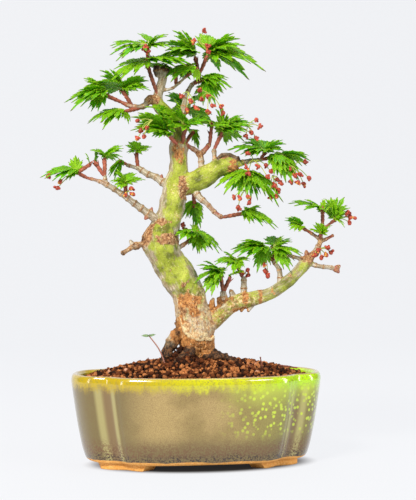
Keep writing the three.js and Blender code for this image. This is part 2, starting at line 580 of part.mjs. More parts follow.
// The same outline moved outwards by a distance, with its sharp tips cut short.
function grownOutline(points, distance) {
  const edgeNormal = (from, to) => new THREE.Vector2(to.y - from.y, from.x - to.x).normalize();
  return points.map((point, index) => {
    const before = edgeNormal(points.at(index - 1), point);
    const after = edgeNormal(point, points[(index + 1) % points.length]);
    const sum = before.clone().add(after);
    const mitre = Math.min(distance / Math.max(1 + before.dot(after), 1e-6), 2 * distance / sum.length());
    return point.clone().addScaledVector(sum, mitre);
  });
}

// A stalk from the neck and a blade that arches over to its tip, bent out of one flat leaf.
function buildLeaf(neck, [tipX, tipY, tipZ, length], grow) {
  const tip = new THREE.Vector3(tipX, tipY, tipZ);
  const start = vector(neck);
  const distance = start.distanceTo(tip);
  const blade = Math.min(length, distance * 0.9);
  const base = tip.clone().lerp(start, blade / distance).addScaledVector(UP, SAG * blade * 0.5);
  const stalk = base.clone().sub(start);
  const along = tip.clone().addScaledVector(UP, SAG * blade).sub(base);
  const reach = along.length();
  along.normalize();
  const nearer = tipY <= neck[1] ? -1 : 1;
  const face = new THREE.Vector3(0, nearer * FACE_TILT, 1);
  face.addScaledVector(along, -face.dot(along)).normalize();
  const side = along.clone().cross(face);
  const outline = grownOutline(leafOutline(stalk.length(), reach), grow);
  const geometry = new THREE.ExtrudeGeometry(new THREE.Shape(outline), { depth: 1, bevelEnabled: false });
  const position = geometry.attributes.position;
  for (let index = 0; index < position.count; index += 1) {
    const u = position.getY(index);
    const v = position.getX(index);
    const point = base.clone()
      .addScaledVector(side, v)
      .addScaledVector(face, (position.getZ(index) - 0.5) * (BLADE_THICKNESS + 2 * grow));
    if (u < 0) {
      point.addScaledVector(stalk, u / stalk.length());
    } else {
      point.addScaledVector(along, u);
      point.addScaledVector(UP, (-SAG * blade * (u * u + v * v)) / (reach * reach));
    }
    position.setXYZ(index, point.x, point.y, point.z);
  }
  return toSolid(geometry);
}

// An eight-sided knob that swallows the stalks' starts.
function buildHub(centre, radius, grow) {
  const geometry = new THREE.OctahedronGeometry(radius + grow, 0);
  geometry.translate(...centre);
  return toSolid(geometry);
}

function buildShoot(sprigs) {
  return (grow) => joined(sprigs.flatMap(({ base, neck, leaves }) => [
    peg(base, neck, SHEATH_RADIUS * 0.8, SHEATH_RADIUS, 4, grow),
    buildHub(neck, NECK_RADIUS, grow),
    ...leaves.map((leaf) => buildLeaf(neck, leaf, grow)),
  ]));
}

// A thin stalk that ends in a round bud, turned in one piece and pointed from base to bud.
function buildBud(base, bud, grow) {
  const reach = vector(bud).sub(vector(base));
  const radius = BUD_RADIUS + grow;
  const stem = PEDICEL_RADIUS + grow;
  const profile = [[0, -grow], [stem, -grow], [stem, reach.length() - radius], [radius, reach.length()],
    [0, reach.length() + radius]];
  const geometry = new THREE.LatheGeometry(profile.map(([x, y]) => new THREE.Vector2(x, y)), 3);
  const lean = new THREE.Quaternion();
  lean.setFromUnitVectors(new THREE.Vector3(0, 1, 0), reach.normalize());
  geometry.applyQuaternion(lean);
  geometry.translate(...base);
  return toSolid(geometry);
}

function buildFlowers({ base, buds }) {
  return (grow) => joined([
    buildHub(base, FLOWER_HUB_RADIUS, grow),
    ...buds.map((bud) => buildBud(base, bud, grow)),
  ]);
}

function buildSeedling(grow) {
  const { foot, head, stemRadius, leafLength, leafHalfWidth, leafThickness } = SEEDLING;
  const leaves = [1, -1].map((side) => {
    const shape = new THREE.Shape();
    shape.moveTo(-0.4 * side, 0);
    shape.quadraticCurveTo(side * leafLength * 0.5, leafHalfWidth * 2, side * leafLength, 0);
    shape.quadraticCurveTo(side * leafLength * 0.5, -leafHalfWidth * 2, -0.4 * side, 0);
    const depth = leafThickness + 2 * grow;
    const geometry = new THREE.ExtrudeGeometry(shape, { depth, bevelEnabled: false, curveSegments: 4 });
    geometry.translate(head[0], head[1], head[2] - grow);
    return toSolid(geometry);
  });
  return joined([peg(foot, head, stemRadius * 1.2, stemRadius, 6, grow), ...leaves]);
}

// ---------------------------------------------------------------- assembly

// Pieces are placed in turn, and each gives way to the ones before it by the clearance.
const placed = [];

function place(name, material, build) {
  let solid = build(0);
  for (const other of placed) {
    if (boxesMeet(solid, other.guard)) {
      solid = solid.subtract(other.guard);
    }
  }
  placed.push({ name, material, solid: largestPiece(solid.simplify(SMOOTHING)), guard: build(CLEARANCE) });
}

place('tree_wood', BARK, buildWood);
place('screen_clip_left', WIRE_METAL, buildClip(-1));
place('screen_clip_right', WIRE_METAL, buildClip(1));
place('drain_screen_left', SCREEN_PLASTIC, buildScreen(-1));
place('drain_screen_right', SCREEN_PLASTIC, buildScreen(1));
place('pot', GLAZE, buildPot);
place('drainage_grit', GRIT, buildGrit);
place('seedling', SEEDLING_GREEN, buildSeedling);
place('fallen_twig', DRY_TWIG, (grow) => bentBar(FALLEN_TWIG, 5, 3, grow));
place('soil', EARTH, buildSoil);
for (const [name, cluster] of Object.entries(FLOWERS)) {
  place(name, RED_BUD, buildFlowers(cluster));
}
for (const [name, sprigs] of Object.entries(SHOOTS)) {
  place(name, LEAF, buildShoot(sprigs));
}

// The origin is under the middle of the whole plant's box, on the table.
const bonsai = new THREE.Group();
for (const { name, material, solid } of placed) {
  const mesh = new THREE.Mesh(toGeometry(solid), material);
  mesh.name = name;
  bonsai.add(mesh);
}
const middle = new THREE.Box3().setFromObject(bonsai).getCenter(new THREE.Vector3());
bonsai.position.set(-middle.x, -middle.y, -TABLE);

export default bonsai;
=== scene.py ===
import logging
import math
from dataclasses import dataclass, field
from enum import Enum
from itertools import product
from typing import Any

import bpy
import numpy as np
from bpy.types import Material, NodeSocket, Object
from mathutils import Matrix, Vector


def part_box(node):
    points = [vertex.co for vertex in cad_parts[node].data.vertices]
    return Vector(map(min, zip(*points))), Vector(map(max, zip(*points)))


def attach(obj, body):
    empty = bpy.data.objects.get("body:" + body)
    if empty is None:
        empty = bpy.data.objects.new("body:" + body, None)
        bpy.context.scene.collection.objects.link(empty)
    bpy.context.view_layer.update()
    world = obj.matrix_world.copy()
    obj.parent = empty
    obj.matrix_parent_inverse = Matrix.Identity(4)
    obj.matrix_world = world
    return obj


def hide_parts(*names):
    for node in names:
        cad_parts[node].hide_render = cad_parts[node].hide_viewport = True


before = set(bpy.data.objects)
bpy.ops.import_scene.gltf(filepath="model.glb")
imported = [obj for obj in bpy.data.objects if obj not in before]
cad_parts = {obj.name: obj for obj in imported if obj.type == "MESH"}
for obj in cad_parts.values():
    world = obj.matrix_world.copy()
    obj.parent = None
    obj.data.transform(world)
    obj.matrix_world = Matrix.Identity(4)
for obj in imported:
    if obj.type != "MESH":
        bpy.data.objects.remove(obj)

# A Japanese maple bonsai in a four-lobed glazed pot. Sizes are in millimetres from the pot's centre line.

Array = np.ndarray
Station = tuple[float, float, float, float]
Point = tuple[float, float, float]
Profile = tuple[tuple[float, float], ...]

LOG = logging.getLogger("bonsai")
MM = 0.001
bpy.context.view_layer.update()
POT_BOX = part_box("pot")
DATUM = 4.6                # heights count from a level this far above the table
POT_MIDDLE = (POT_BOX[0] + POT_BOX[1]) / 2
ORIGIN = Vector((POT_MIDDLE.x, POT_MIDDLE.y, POT_BOX[0].z + DATUM * MM))
UP = np.array([0.0, 0.0, 1.0])


class Body(Enum):
    """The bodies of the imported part."""

    ROOT = "root"


class Slot(Enum):
    """The record's material slots."""

    BARK = "bark"
    SCREEN = "screen_plastic"
    GLAZE = "glaze"
    SEEDLING = "seedling_green"
    DRY_TWIG = "dry_twig"
    EARTH = "earth"
    RED_BUD = "red_bud"
    LEAF = "leaf"


# ---- the tree's stations

# The trunk as (x, y, z, radius), from below the soil to the top.
TRUNK: tuple[Station, ...] = (
    (6, 0, 60, 9), (6, 0, 74, 9.5), (5, 0, 82, 10), (2, 0, 90, 13), (0, 0, 96, 14.6), (-1, 0, 106, 15.4),
    (-4.4, 0, 118, 13.2), (-7.6, 0, 131, 13.2), (-14, 0, 143, 14), (-22.4, 0, 155, 12.8),
    (-28.4, -1, 167, 14.2), (-29.2, -1, 173.5, 14.6), (-26.8, 0, 180, 12.2), (-22, 0, 192, 10.2),
    (-19.2, 0, 204, 10.4), (-18.4, 0, 216, 8.6), (-14.8, 0, 228, 7.6), (-15.2, 0, 241, 7.2),
    (-15, 0, 249, 7.6), (-15.6, 0, 258, 5.4), (-19, 0, 266, 4.8), (-25, 0, 273.5, 5.4), (-30, 0, 279, 5.2),
    (-31.6, 0, 284, 4.2), (-30.8, 0, 291, 3.7), (-27.6, 0, 301, 3.5), (-26, 0, 309, 2.8),
)

# Each limb as (x, y, z, radius) from its root to its end.
LIMBS: dict[str, tuple[Station, ...]] = {
    "upper_right": ((-16, 0, 216, 9), (-4.8, -2, 218.6, 8.8), (5.6, -4, 223.4, 8.4),
        (15.6, -7, 229.8, 7.6), (23.2, -9, 232.6, 7.2), (30.4, -10, 232, 5.6)),
    "upper_twig_left": ((3.2, -3, 229, 2.6), (1.6, -3, 241, 2.2), (-7.2, -4, 247.4, 1.6),
        (-12, -5, 250.5, 1.4)),
    "upper_twig_right": ((1.6, -3, 240, 2), (7.2, -4, 246.6, 1.8), (9.6, -4, 250, 1.5)),
    "upper_stub": ((13.6, -6, 234, 2), (12.8, -5, 245.5, 1.7)),
    "right_twig": ((28, -10, 233, 2.6), (42.4, -8, 236.2, 1.7), (52, -7, 237.4, 1.3)),
    "drooping": ((-3, -3, 214, 3), (0.8, -6, 207, 2.6), (7.2, -9, 201, 2), (12.8, -11, 194.6, 1.9),
        (18.4, -12, 190.6, 1.8)),
    "lower_right": ((0, 0, 101, 7.5), (10.4, -1, 107, 7.2), (18.4, -3, 114.2, 6.6), (28.8, -5, 122.4, 6.4),
        (40.8, -7, 125.4, 6.5), (54.4, -9, 128.8, 5.3), (65.6, -10, 135, 4.8), (76.8, -12, 144.6, 4.9),
        (88, -13, 157, 4.9)),
    "lower_stub": ((22, -4, 119, 3), (20, -6, 132, 2.4)),
    "lower_twig_near": ((36.8, -6, 127, 2.6), (36.8, -6, 143.4, 2)),
    "lower_twig_middle": ((65.6, -10, 137, 2.4), (64.8, -10, 149, 1.9), (59.6, -9, 156.5, 1.5)),
    "lower_twig_dry": ((86, -12, 157, 2), (73, -12, 160.2, 1.4), (64, -10, 162, 1.1)),
    "end_twig_up": ((88, -13, 155, 2.6), (96.8, -12, 169, 2), (98.6, -12, 177, 1.6), (100, -12, 187, 1.3)),
    "end_twig_low": ((87, -13, 155, 2.4), (96, -14, 152.2, 1.8), (106, -15, 151, 1.7),
        (110.4, -15, 149.6, 2)),
    "end_twig_side": ((97.6, -12, 171, 1.4), (108.8, -13, 177, 1.2)),
    "end_twig_right": ((99.4, -12, 181, 1.3), (106.4, -12, 186.4, 1.2)),
    "end_twig_left": ((98, -12, 173.6, 1.4), (87, -13, 180.6, 1.2)),
    "lower_left": ((-24, 0, 185, 5), (-32, -3, 188.6, 3.7), (-40, -5, 194, 3.1), (-51.2, -8, 201.8, 2.7),
        (-62.4, -9, 209.8, 2.3), (-73, -10, 216.2, 2.2), (-81, -10, 219.4, 1.4), (-89, -10, 221.4, 1.2)),
    "lower_left_twig": ((-73.6, -10, 215, 1.7), (-74.4, -9, 223.6, 1.5)),
    "upper_left": ((-20, 1, 213, 3.4), (-32, 5, 222.6, 2.8), (-39.2, 7, 225.8, 2.4), (-46.4, 9, 230.8, 2)),
    "upper_left_twig": ((-45.6, 9, 230.2, 1.4), (-56, 8, 233, 1.5)),
    "left_stub": ((-36, -2, 169, 4.2), (-44, -4, 169.6, 2.3), (-49.5, -5, 168, 2.8), (-53, -6, 166.8, 1.7),
        (-60.8, -6, 162, 1.9)),
    "crown_left": ((-31, 0, 281, 3.8), (-37.6, -1, 285, 3.2), (-43, -3, 278.8, 2.3),
        (-52.8, -5, 278.2, 1.9), (-61, -5, 281.2, 1.5)),
    "crown_twig": ((-29, 0, 292, 1.4), (-20, -1, 293.8, 1.2), (-9, -2, 303.2, 1.1)),
    "crown_right": ((-16, 1, 260, 2.8), (-10.4, 4, 278.6, 2.4), (-8, 5, 289, 2), (-3.2, 6, 297.8, 1.8),
        (2.4, 6, 302.6, 1.6), (2.8, 6, 309, 1.5)),
    "trunk_twig": ((-16, -2, 166, 2), (-9, 2, 170.5, 1.6), (-4.6, 4, 173.6, 1.3)),
    "root_left": ((-10, -3, 103, 4.2), (-18, -4, 93, 3.2), (-22.4, -5, 85, 3.0), (-26, -6, 79, 3.6),
        (-34, -8, 68, 3.6)),
    "root_front_left": ((-2, -6, 90, 5.4), (-10, -11, 83, 3.6), (-17, -15, 77, 3.2), (-30, -21, 66, 3)),
    "root_right": ((8, -3, 84, 6), (18, -7, 79, 4.6), (28, -9, 75.5, 3), (40, -11, 68, 2)),
    "root_back": ((4, 4, 82, 6), (8, 16, 76, 4.6), (12, 30, 66, 3)),
}

# Small side buds and jagged bark stubs, built as short limbs.
SPURS: dict[str, tuple[Station, ...]] = {
    "bud_low_left_over": ((-38, -4, 192, 1.5), (-37.4, -5, 196, 1.5), (-36.8, -5.4, 198.8, 0.7)),
    "bud_low_left_under": ((-39, -5, 193, 1.5), (-41.6, -6, 190.4, 1.6), (-42.8, -6.6, 189, 0.8)),
    "bud_upper_left": ((-28.8, 4, 220, 1.5), (-28.2, 3, 223.4, 1.4), (-28, 3, 225.4, 0.6)),
    "bark_stub_near_root": ((14, -2, 112, 3), (11.5, -3, 121, 2.4), (12.5, -4, 126.6, 1.2)),
    "bark_tooth_near_root": ((20, -3, 117, 3), (17.5, -4, 124, 2.2), (16.5, -4, 127.4, 0.9)),
    "bark_tooth_middle": ((30, -5, 124, 3), (27, -6, 131, 2), (25.5, -6, 133.6, 0.8)),
    "jag_under_left": ((37, -6, 122, 2.4), (35.4, -6.5, 118, 1.7), (34.6, -6.5, 115.4, 0.7)),
    "jag_under_right": ((43, -7, 121, 2.4), (40.6, -7.5, 117.4, 1.5), (40, -7.5, 115.4, 0.7)),
    "side_bud_long_limb": ((64, -10, 134, 2.6), (69.5, -11.5, 138, 2), (70.8, -12, 141, 1.1)),
    "root_over_gap": ((-12, -4, 103, 3.4), (-19.6, -5, 97, 3.2), (-24, -6, 88, 3.4), (-25.6, -7, 80, 4.2)),
    "root_thin_right": ((4, -10, 80, 2.2), (16, -11, 80.6, 2), (26, -12, 77.6, 1.6), (34, -13, 72, 1.2)),
    "stump_knob_left": ((-31, -1, 303, 2.6), (-32.4, -2, 307.6, 2.6), (-32.8, -2.6, 311, 1.8)),
    "stump_knob_right": ((-26, 0, 305, 2.8), (-25.6, -0.5, 308.6, 3.1), (-25.2, -0.5, 310.4, 2.4)),
    "stub_fork": ((-51, -5, 168, 2.4), (-53.6, -6, 171.6, 1.5), (-54.2, -6, 173, 0.8)),
    "end_cluster_a": ((88, -13, 157, 3.4), (86.4, -14, 161.6, 1.9), (85.8, -14.6, 165, 0.9)),
    "end_cluster_b": ((90, -13, 160, 3), (94.4, -15, 162.6, 2), (96.4, -16, 165.6, 1.1)),
    "end_tip_a": ((109, -15, 150, 2), (112, -15.6, 151.6, 1.7), (113.4, -15.8, 153, 0.8)),
    "end_tip_b": ((109, -15, 150, 2), (111.6, -15.6, 147.8, 1.6), (112.4, -15.8, 146.4, 0.7)),
}


class Feature(Enum):
    """What grows on the bark at a place, and so how it is shaped and coloured."""

    SCAR = "scar"
    CORK = "cork"
    PALE = "pale"
    DARK = "dark"


# Patches of rough or healed bark: each is (centre, reach along X, Y and Z, strength).
BARK_PATCHES: dict[Feature, tuple[tuple[Point, Point, float], ...]] = {
    Feature.PALE: (
        ((1, -13, 98.5), (11, 6, 3.4), 0.85), ((-10, -11, 103), (3.4, 6, 7), 0.8),
        ((-1, -14, 106), (7, 5, 7), 0.5),
    ),
    Feature.SCAR: (
        ((-13, -9, 117), (5, 8, 12), 0.75), ((8, -9, 104), (6, 8, 9), 0.6),
        ((-30, -10, 160), (6, 7, 6), 0.5), ((-12, -11, 138), (8, 6, 5), 0.62),
        ((-22, -13, 150), (9, 5, 3), 0.6), ((-27, -10, 175), (13, 9, 3.4), 1.2),
        ((74, -13, 143), (7, 7, 4), 0.6), ((-22, -4, 172), (22, 18, 3.4), 1.3),
        ((-40, -4, 176), (7, 10, 9), 1.6), ((-29, -8, 187), (5, 7, 3), 1.3),
        ((-12.5, -6, 214), (4.5, 12, 10), 1.4), ((-8, -5, 207), (4, 12, 5), 1.2),
        ((18, -8, 239), (7, 9, 2.6), 1.3), ((-36, -2, 283), (7, 6, 6), 1.3),
        ((88, -12, 158), (6, 8, 7), 1.2), ((98, -12, 170), (4, 5, 6), 1.0), ((3, -3, 229), (4, 5, 3), 1.2),
        ((1.6, -3, 241), (5, 4, 3.4), 1.1), ((-20, -2, 262), (5, 6, 3), 0.9),
    ),
    Feature.CORK: (
        ((60, -11, 132), (5, 7, 4), 0.62), ((2, -4, 84), (18, 22, 12), 2.4),
        ((-14, -6, 100), (8, 10, 12), 1.7), ((-9, -12, 125), (12, 8, 6), 1.2),
        ((-4, -12, 117), (6, 6, 8), 0.9), ((26, -11, 232), (7, 6, 5.5), 1.5),
        ((14, -4, 122), (7, 9, 6), 1.3), ((26, -7, 124), (9, 6, 7), 0.9),
        ((37, -7, 125), (3.6, 9, 9), 1.2), ((49, -9, 127), (2.4, 9, 8), 1.1),
        ((33, -6, 118), (9, 7, 3), 1.1), ((-16, -6, 243), (7, 6, 9), 0.8),
    ),
    Feature.DARK: (
        ((-22, -4, 78), (9, 20, 7), 1.3), ((-7, -13, 76), (4, 6, 4), 1.0),
        ((20, -12, 76), (14, 10, 5), 1.4), ((-17, -3, 103), (4, 8, 9), 0.8),
        ((-43, -3, 174), (2.4, 9, 4), 0.7), ((31, -9, 238), (3, 8, 5), 1.2),
        ((-26, 0, 309), (3.6, 5, 3.4), 1.8), ((-32.6, -2, 308), (3, 4, 5), 1.2),
        ((-60, -6, 163), (4, 6, 4), 0.55), ((-50, -5, 165), (3, 6, 3), 0.5),
    ),
}

# The healed lip of pale callus across the trunk's front, as (x, y, z, radius).
CALLUS: tuple[Station, ...] = (
    (-14.6, -6.6, 112, 0.8), (-13, -8.4, 106, 1.2), (-11.4, -10.4, 101, 1.5), (-8, -12, 97.4, 1.3),
    (-4.4, -13.4, 96.6, 1.6), (0, -13.8, 94.4, 1.2), (4, -13.2, 95.4, 1.5), (8.4, -11.8, 94.2, 1.2),
    (12.2, -8, 96.4, 1.2),
)

# The dark rim of the big cut at the end of the upper right limb.
CUT_RIM: tuple[Station, ...] = (
    (14.5, -12, 237.4, 1.2), (19, -12, 240.4, 1.5), (25, -12.6, 240, 1.6), (30.4, -13, 236.6, 1.6),
    (33.6, -13, 231.4, 1.3),
)

# ---- the tree's leaves and flowers

# A sprig is (base, neck, leaves): a sheath runs from base to neck, and each leaf is (x, y, z, blade length).
Sprig = tuple[Point, Point, tuple[Station, ...]]
SHOOTS: dict[str, tuple[Sprig, ...]] = {
    "apex_left": (((-32, -2, 288), (-40.8, -6, 311.4), ((-68, -12, 302, 28), (-6, -14, 312, 34))),
        ((-40.6, -6, 310), (-40, -6, 324), ((-68, -8, 328, 21), (-67, -18, 319, 22), (-28, -10, 336, 19),
        (-37.6, 10, 338, 14), (-25, -16, 326, 18)))),
    "apex_middle": (((-17, 0, 296), (-16.8, 2, 305), ((-36, 16, 315, 22), (0, 16, 314, 20))),),
    "crown_twig": (((-9, -2, 303), (-3, -3, 309), ((-26, -9, 303, 22), (-1, -9, 299, 12))),),
    "crown_right": (((2, 6, 308), (-0.8, 5, 320), ((-14, 6, 341, 20), (-30, 2, 321, 30),
        (-24, 14, 332, 24), (-21, -12, 325, 22))), ((3.6, 6, 308), (8.8, 4, 321), ((34, 8, 337, 27),
        (49, -4, 317, 36), (33, -14, 329, 26), (14, 18, 341, 20), (40, 10, 313, 30)))),
    "right_fan": (((-3, 6, 298), (5, 4, 301.6), ((25.6, 2, 304, 21), (25.6, -9, 295, 22),
        (20, 12, 291, 20), (13.6, -6, 284, 16))),),
    "left_fan_outer": (((-60, -5, 281), (-74, -8, 286.6), ((-102.4, -8, 285, 30),
        (-99, -20, 278.6, 26), (-87, 8, 299, 20), (-85, -14, 274.6, 14))),),
    "left_fan_inner": (((-52, -5, 278), (-60, -6, 290), ((-73.6, -4, 306.6, 18),
        (-41, -5, 299.4, 25), (-40, -16, 291, 24), (-63, 12, 302, 18), (-88, 0, 294, 27))),),
    "left_under": (((-46, -4, 277), (-60, -10, 273.4), ((-87, -12, 265.8, 22),
        (-76, -20, 263.4, 17), (-56, -16, 264, 10))),),
    "centre_left": (((-16, -5, 248), (-25, -12, 255.4), ((-53, -14, 260, 30), (-51, -8, 271, 28),
        (-37.6, -24, 257.8, 20), (-31, -18, 279, 20))),),
    "centre_mid": (((-12.5, -6, 249), (-11.2, -12, 261), ((-38, -12, 280, 26),
        (-17.6, -15, 283, 20), (6.4, -16, 270.6, 20), (-25.6, -24, 263, 18))),),
    "centre_back": (((-11, 5, 274), (-6, 12, 278), ((-21.6, 18, 291, 18), (6.4, 18, 292, 17),
        (13.6, 26, 275, 20), (-26, 24, 270, 20))),),
    "centre_hollow": (((-10, -5, 249.5), (-2, 8, 260), ((2, 10, 247, 14), (-8, 22, 262, 15))),),
    "right_mass": (((12.8, -5, 244.6), (19.2, -6, 258.6), ((19.2, 0, 280, 19), (42.4, -8, 268, 26),
        (33, 8, 274.6, 20), (37, -18, 260, 18), (34, 8, 255, 18))),),
    "right_mass_inner": (((9.6, -4, 249), (10.4, -8, 262), ((-6, -14, 267, 16), (23, -18, 264, 16),
        (4, 6, 275, 14))),),
    "right_upper": (((50, -7, 237), (53, -8, 242), ((27, -14, 248, 28), (56.8, 4, 255, 16),
        (70.4, -4, 251, 21), (42.4, 8, 253, 18), (38.4, -24, 243, 18))),),
    "right_outer": (((51.6, -7, 237.2), (61.6, -8, 240), ((91, -4, 238, 22), (82.4, -14, 226.6, 26),
        (72.8, -22, 221.8, 22), (62.4, -26, 227, 18))),),
    "right_lower": (((31, -11, 229), (37, -16, 225), ((13, -24, 214.6, 26), (45, -24, 206.6, 22),
        (28.8, -28, 208, 20), (65.6, -18, 207, 26), (52, -8, 219, 18))),),
    "drooping_end": (((18, -12, 190.8), (35.2, -14, 194), ((61.6, -15, 186, 25),
        (42.4, -22, 186.6, 11), (49.6, -8, 199.4, 14))),),
    "behind_trunk": (((-2.4, 3, 212), (-1, 9, 202), ((2.4, 14, 183.4, 17), (-10.4, 17, 192, 15),
        (6.4, 6, 197, 12))),),
    "trunk_right": (((-5, 4, 173.4), (-1, 5, 178), ((20, 2, 167, 23), (1, 10, 186, 12),
        (-15.2, -16, 176, 17), (7, -6, 163.4, 17))),),
    "left_tip": (((-88, -10, 221.2), (-96, -11, 225), ((-121.6, -12, 225, 24),
        (-98.4, -10, 237, 12), (-104.8, -15, 219.4, 9))), ((-95, -11, 225.4), (-86.4, -9, 231.6),
        ((-88.4, -12, 240, 9),))),
    "left_mid": (((-74.4, -9, 222.6), (-74.4, -10, 237), ((-61.6, -13, 247, 19),
        (-84, -16, 243.4, 16), (-60.8, -9, 238, 15))), ((-75, -9, 223), (-81.6, -9, 233),
        ((-80, -5, 244, 12),))),
    "left_branch": (((-57.6, -9, 206), (-58.4, -10, 216), ((-46.4, -14, 221.8, 15),
        (-69, -12, 220, 15), (-64, -4, 229, 14), (-65.6, -20, 213.8, 11), (-52.8, -4, 227, 12))),),
    "upper_left": (((-46.4, 9, 230), (-48, 8, 242.4), ((-37.6, 8, 249, 15), (-55.2, 5, 243.4, 11),
        (-50.4, 0, 252, 11))),),
    "upper_left_side": (((-55, 8, 233), (-59, 8, 235), ((-69.6, 5, 223.4, 17),)),),
    "limb_near_left": (((20, -6, 131), (17.6, -8, 146), ((-2.4, -12, 142.6, 22), (-1, -16, 153, 20),
        (4, -18, 132, 17), (9, 6, 155, 15))), ((20.4, -6, 131), (25.6, -8, 144), ((34.4, -16, 148, 13),))),
    "limb_near_top": (((36, -6, 142.6), (30.4, -6, 155), ((40.8, -8, 158.6, 13),
        (14.4, -12, 156, 20), (23.2, 4, 164, 15), (25.6, -20, 150, 15))),),
    "limb_middle": (((60, -9, 156), (53, -10, 165), ((27, -12, 165, 27), (31, -1, 169, 24),
        (45, 6, 173, 15), (37, -22, 162, 19), (45.6, -16, 151.4, 14))), ((60.2, -9, 155.6), (61, -9, 165),
        ((84, -12, 162.6, 25), (75, 0, 174, 19), (63, 6, 177, 15), (71, -19, 151.4, 17)))),
    "end_centre": (((98, -12, 173.6), (97.8, -14, 176.8), ((88.8, -18, 182, 12),
        (104.8, -10, 185, 12), (97, -22, 186.6, 13))),),
    "end_top": (((100, -12, 186), (100, -12, 195), ((74.4, -14, 204, 27), (101, -8, 206, 13),
        (105.6, -15, 200, 11))),),
    "end_right": (((105.6, -12, 185.8), (110, -12, 189), ((111, -13, 207.4, 18),
        (105.6, -6, 205.8, 15), (118.4, -14, 201, 15), (115, -20, 185.8, 11))),),
    "end_left": (((88, -13, 180), (82.4, -13, 183), ((71, -12, 191.4, 15), (72, -20, 182.6, 13))),),
}

# A flower cluster is (base, buds): a thin stalk runs from the base to each bud's centre.
FLOWERS: dict[str, tuple[Point, tuple[Point, ...]]] = {
    "crown_left": ((-40, -12, 317), ((-44, -14, 322.6), (-41.6, -14, 320.4), (-42.6, -13, 325))),
    "crown_right": ((1.6, -2, 330), ((-4, -7, 330), (4.8, -5, 339.4), (7.2, -8, 326.6),
        (7.2, -9, 322))),
    "centre_left": ((-9.6, -16, 289), ((-15.2, -18, 285), (-11.2, -20, 274.6), (-8.8, -22, 281.8),
        (-4, -20, 276.2))),
    "centre_right": ((7, -12, 289), ((0, -14, 290.6), (5.6, -17, 286), (0.8, -17, 283.4),
        (9.6, -16, 278.6), (5.6, -18, 273.8), (16.8, -14, 277.8), (18.8, -14, 273.4))),
    "right_mass_tip": ((38.4, -12, 264), ((46.4, -9, 269), (49.6, -9, 263.4), (41, -16, 257.8),
        (36.8, -16, 255.4), (45, -14, 254))),
    "left_pendant": ((-38, -20, 266), ((-49.6, -18, 265.8), (-42.4, -20, 260.2),
        (-47.6, -20, 257.6), (-45, -22, 253), (-50, -20, 251.6))),
    "right_upper": ((42.4, -16, 236), ((37.6, -22, 241), (35.2, -24, 229.8), (37.2, -24, 225),
        (45.6, -22, 230.6), (52, -20, 232), (56, -20, 227), (52.8, -22, 222.6))),
    "right_lower": ((57.6, -18, 224), ((61, -20, 220.6), (64.4, -20, 217.4), (59, -20, 216),
        (62.4, -20, 212.6), (60, -20, 207.4), (56, -20, 206.6))),
    "right_outer": ((72.8, -14, 233), ((72, -18, 229), (76, -18, 223.6), (80, -18, 225),
        (78.4, -18, 218.6), (72.8, -18, 219.4))),
    "right_far": ((75, -9, 231.6), ((86.4, -9, 235.4), (89, -11, 222.6), (84.8, -11, 217.8))),
    "lower_group": ((34.4, -24, 212), ((25, -27, 206.4), (29.6, -28, 205), (36, -27, 206.6),
        (37.4, -26, 202), (28.8, -24, 198.4))),
    "left_tip": ((-97.6, -12, 223.4), ((-118.4, -14, 222), (-109.6, -14, 217.6),
        (-111.4, -14, 213))),
    "left_branch": ((-56.6, -13, 210.6), ((-58.8, -17, 207.4), (-52.8, -16, 208.4),
        (-54.2, -14, 213))),
    "trunk_right": ((-6, 8, 179), ((-10.4, 11, 185), (-7.2, 12, 181.4))),
    "limb_near": ((37, -6, 146), ((39.6, -8, 149), (35, -9, 147.4), (40.6, -6, 145))),
    "limb_middle": ((53, -13, 160), ((51.2, -15, 153.8), (52.8, -13, 148.2), (54.8, -13, 144.2))),
    "end_low": ((96.8, -15, 166), ((92, -19, 161), (94.4, -19, 165), (97, -19, 158.6),
        (101.6, -17, 161), (103.6, -15, 166.6), (106.4, -13, 163))),
    "end_right": ((112.8, -12, 190), ((119.2, -16, 194.6), (122.4, -14, 191.2), (121.4, -15, 187),
        (126.4, -13, 190.6))),
}

# ---- numbers into shapes


def srgb(code: str) -> tuple[float, float, float, float]:
    """Turn an sRGB hex colour into linear RGBA.

    Args:
        code: six hex digits after a #.

    Returns:
        Four linear channel values; alpha is 1.
    """
    channels = [int(code[start:start + 2], 16) / 255 for start in (1, 3, 5)]
    red, green, blue = (c / 12.92 if c <= 0.04045 else ((c + 0.055) / 1.055) ** 2.4 for c in channels)
    return red, green, blue, 1.0


def lattice(cell: Array, seed: int) -> Array:
    """Give each cell a fixed random value: its coordinates times large primes, mixed bit by bit.

    Args:
        cell: whole-number coordinates.
        seed: chooses the pattern.

    Returns:
        Values from -1 to 1.
    """
    mixed = (cell[:, 0] * 73856093) ^ (cell[:, 1] * 19349663) ^ (cell[:, 2] * 83492791) ^ (seed * 2654435761)
    mixed = (mixed ^ (mixed >> 13)) * 1274126177 & 0xFFFFFFFF
    mixed = (mixed ^ (mixed >> 15)) * 2246822519 & 0xFFFFFFFF
    return mixed / 2**31 - 1.0


def noise(points: Array, size: float, seed: int) -> Array:
    """Smooth random field: values of a grid, blended by 3t²-2t³ of the place in a cell.

    Args:
        points: positions.
        size: cell size.
        seed: chooses the pattern.

    Returns:
        Values from -1 to 1.
    """
    place = points / size + np.array([seed * 7.31, seed * 3.17, seed * 5.73])
    cell = np.floor(place).astype(np.int64)
    share = place - cell
    share = share * share * (3 - 2 * share)
    total = np.zeros(len(points))
    for corner in np.ndindex(2, 2, 2):
        offset = np.array(corner)
        total += np.prod(np.where(offset == 1, share, 1 - share), axis=1) * lattice(cell + offset, seed)
    return total


def rough(points: Array, size: float, seed: int, octaves: int = 3) -> Array:
    """Sum noise fields, each half the size and height of the one before, to values from about -1 to 1."""
    return sum(noise(points, size / 2**step, seed + step) / 2**step for step in range(octaves)) / 1.6


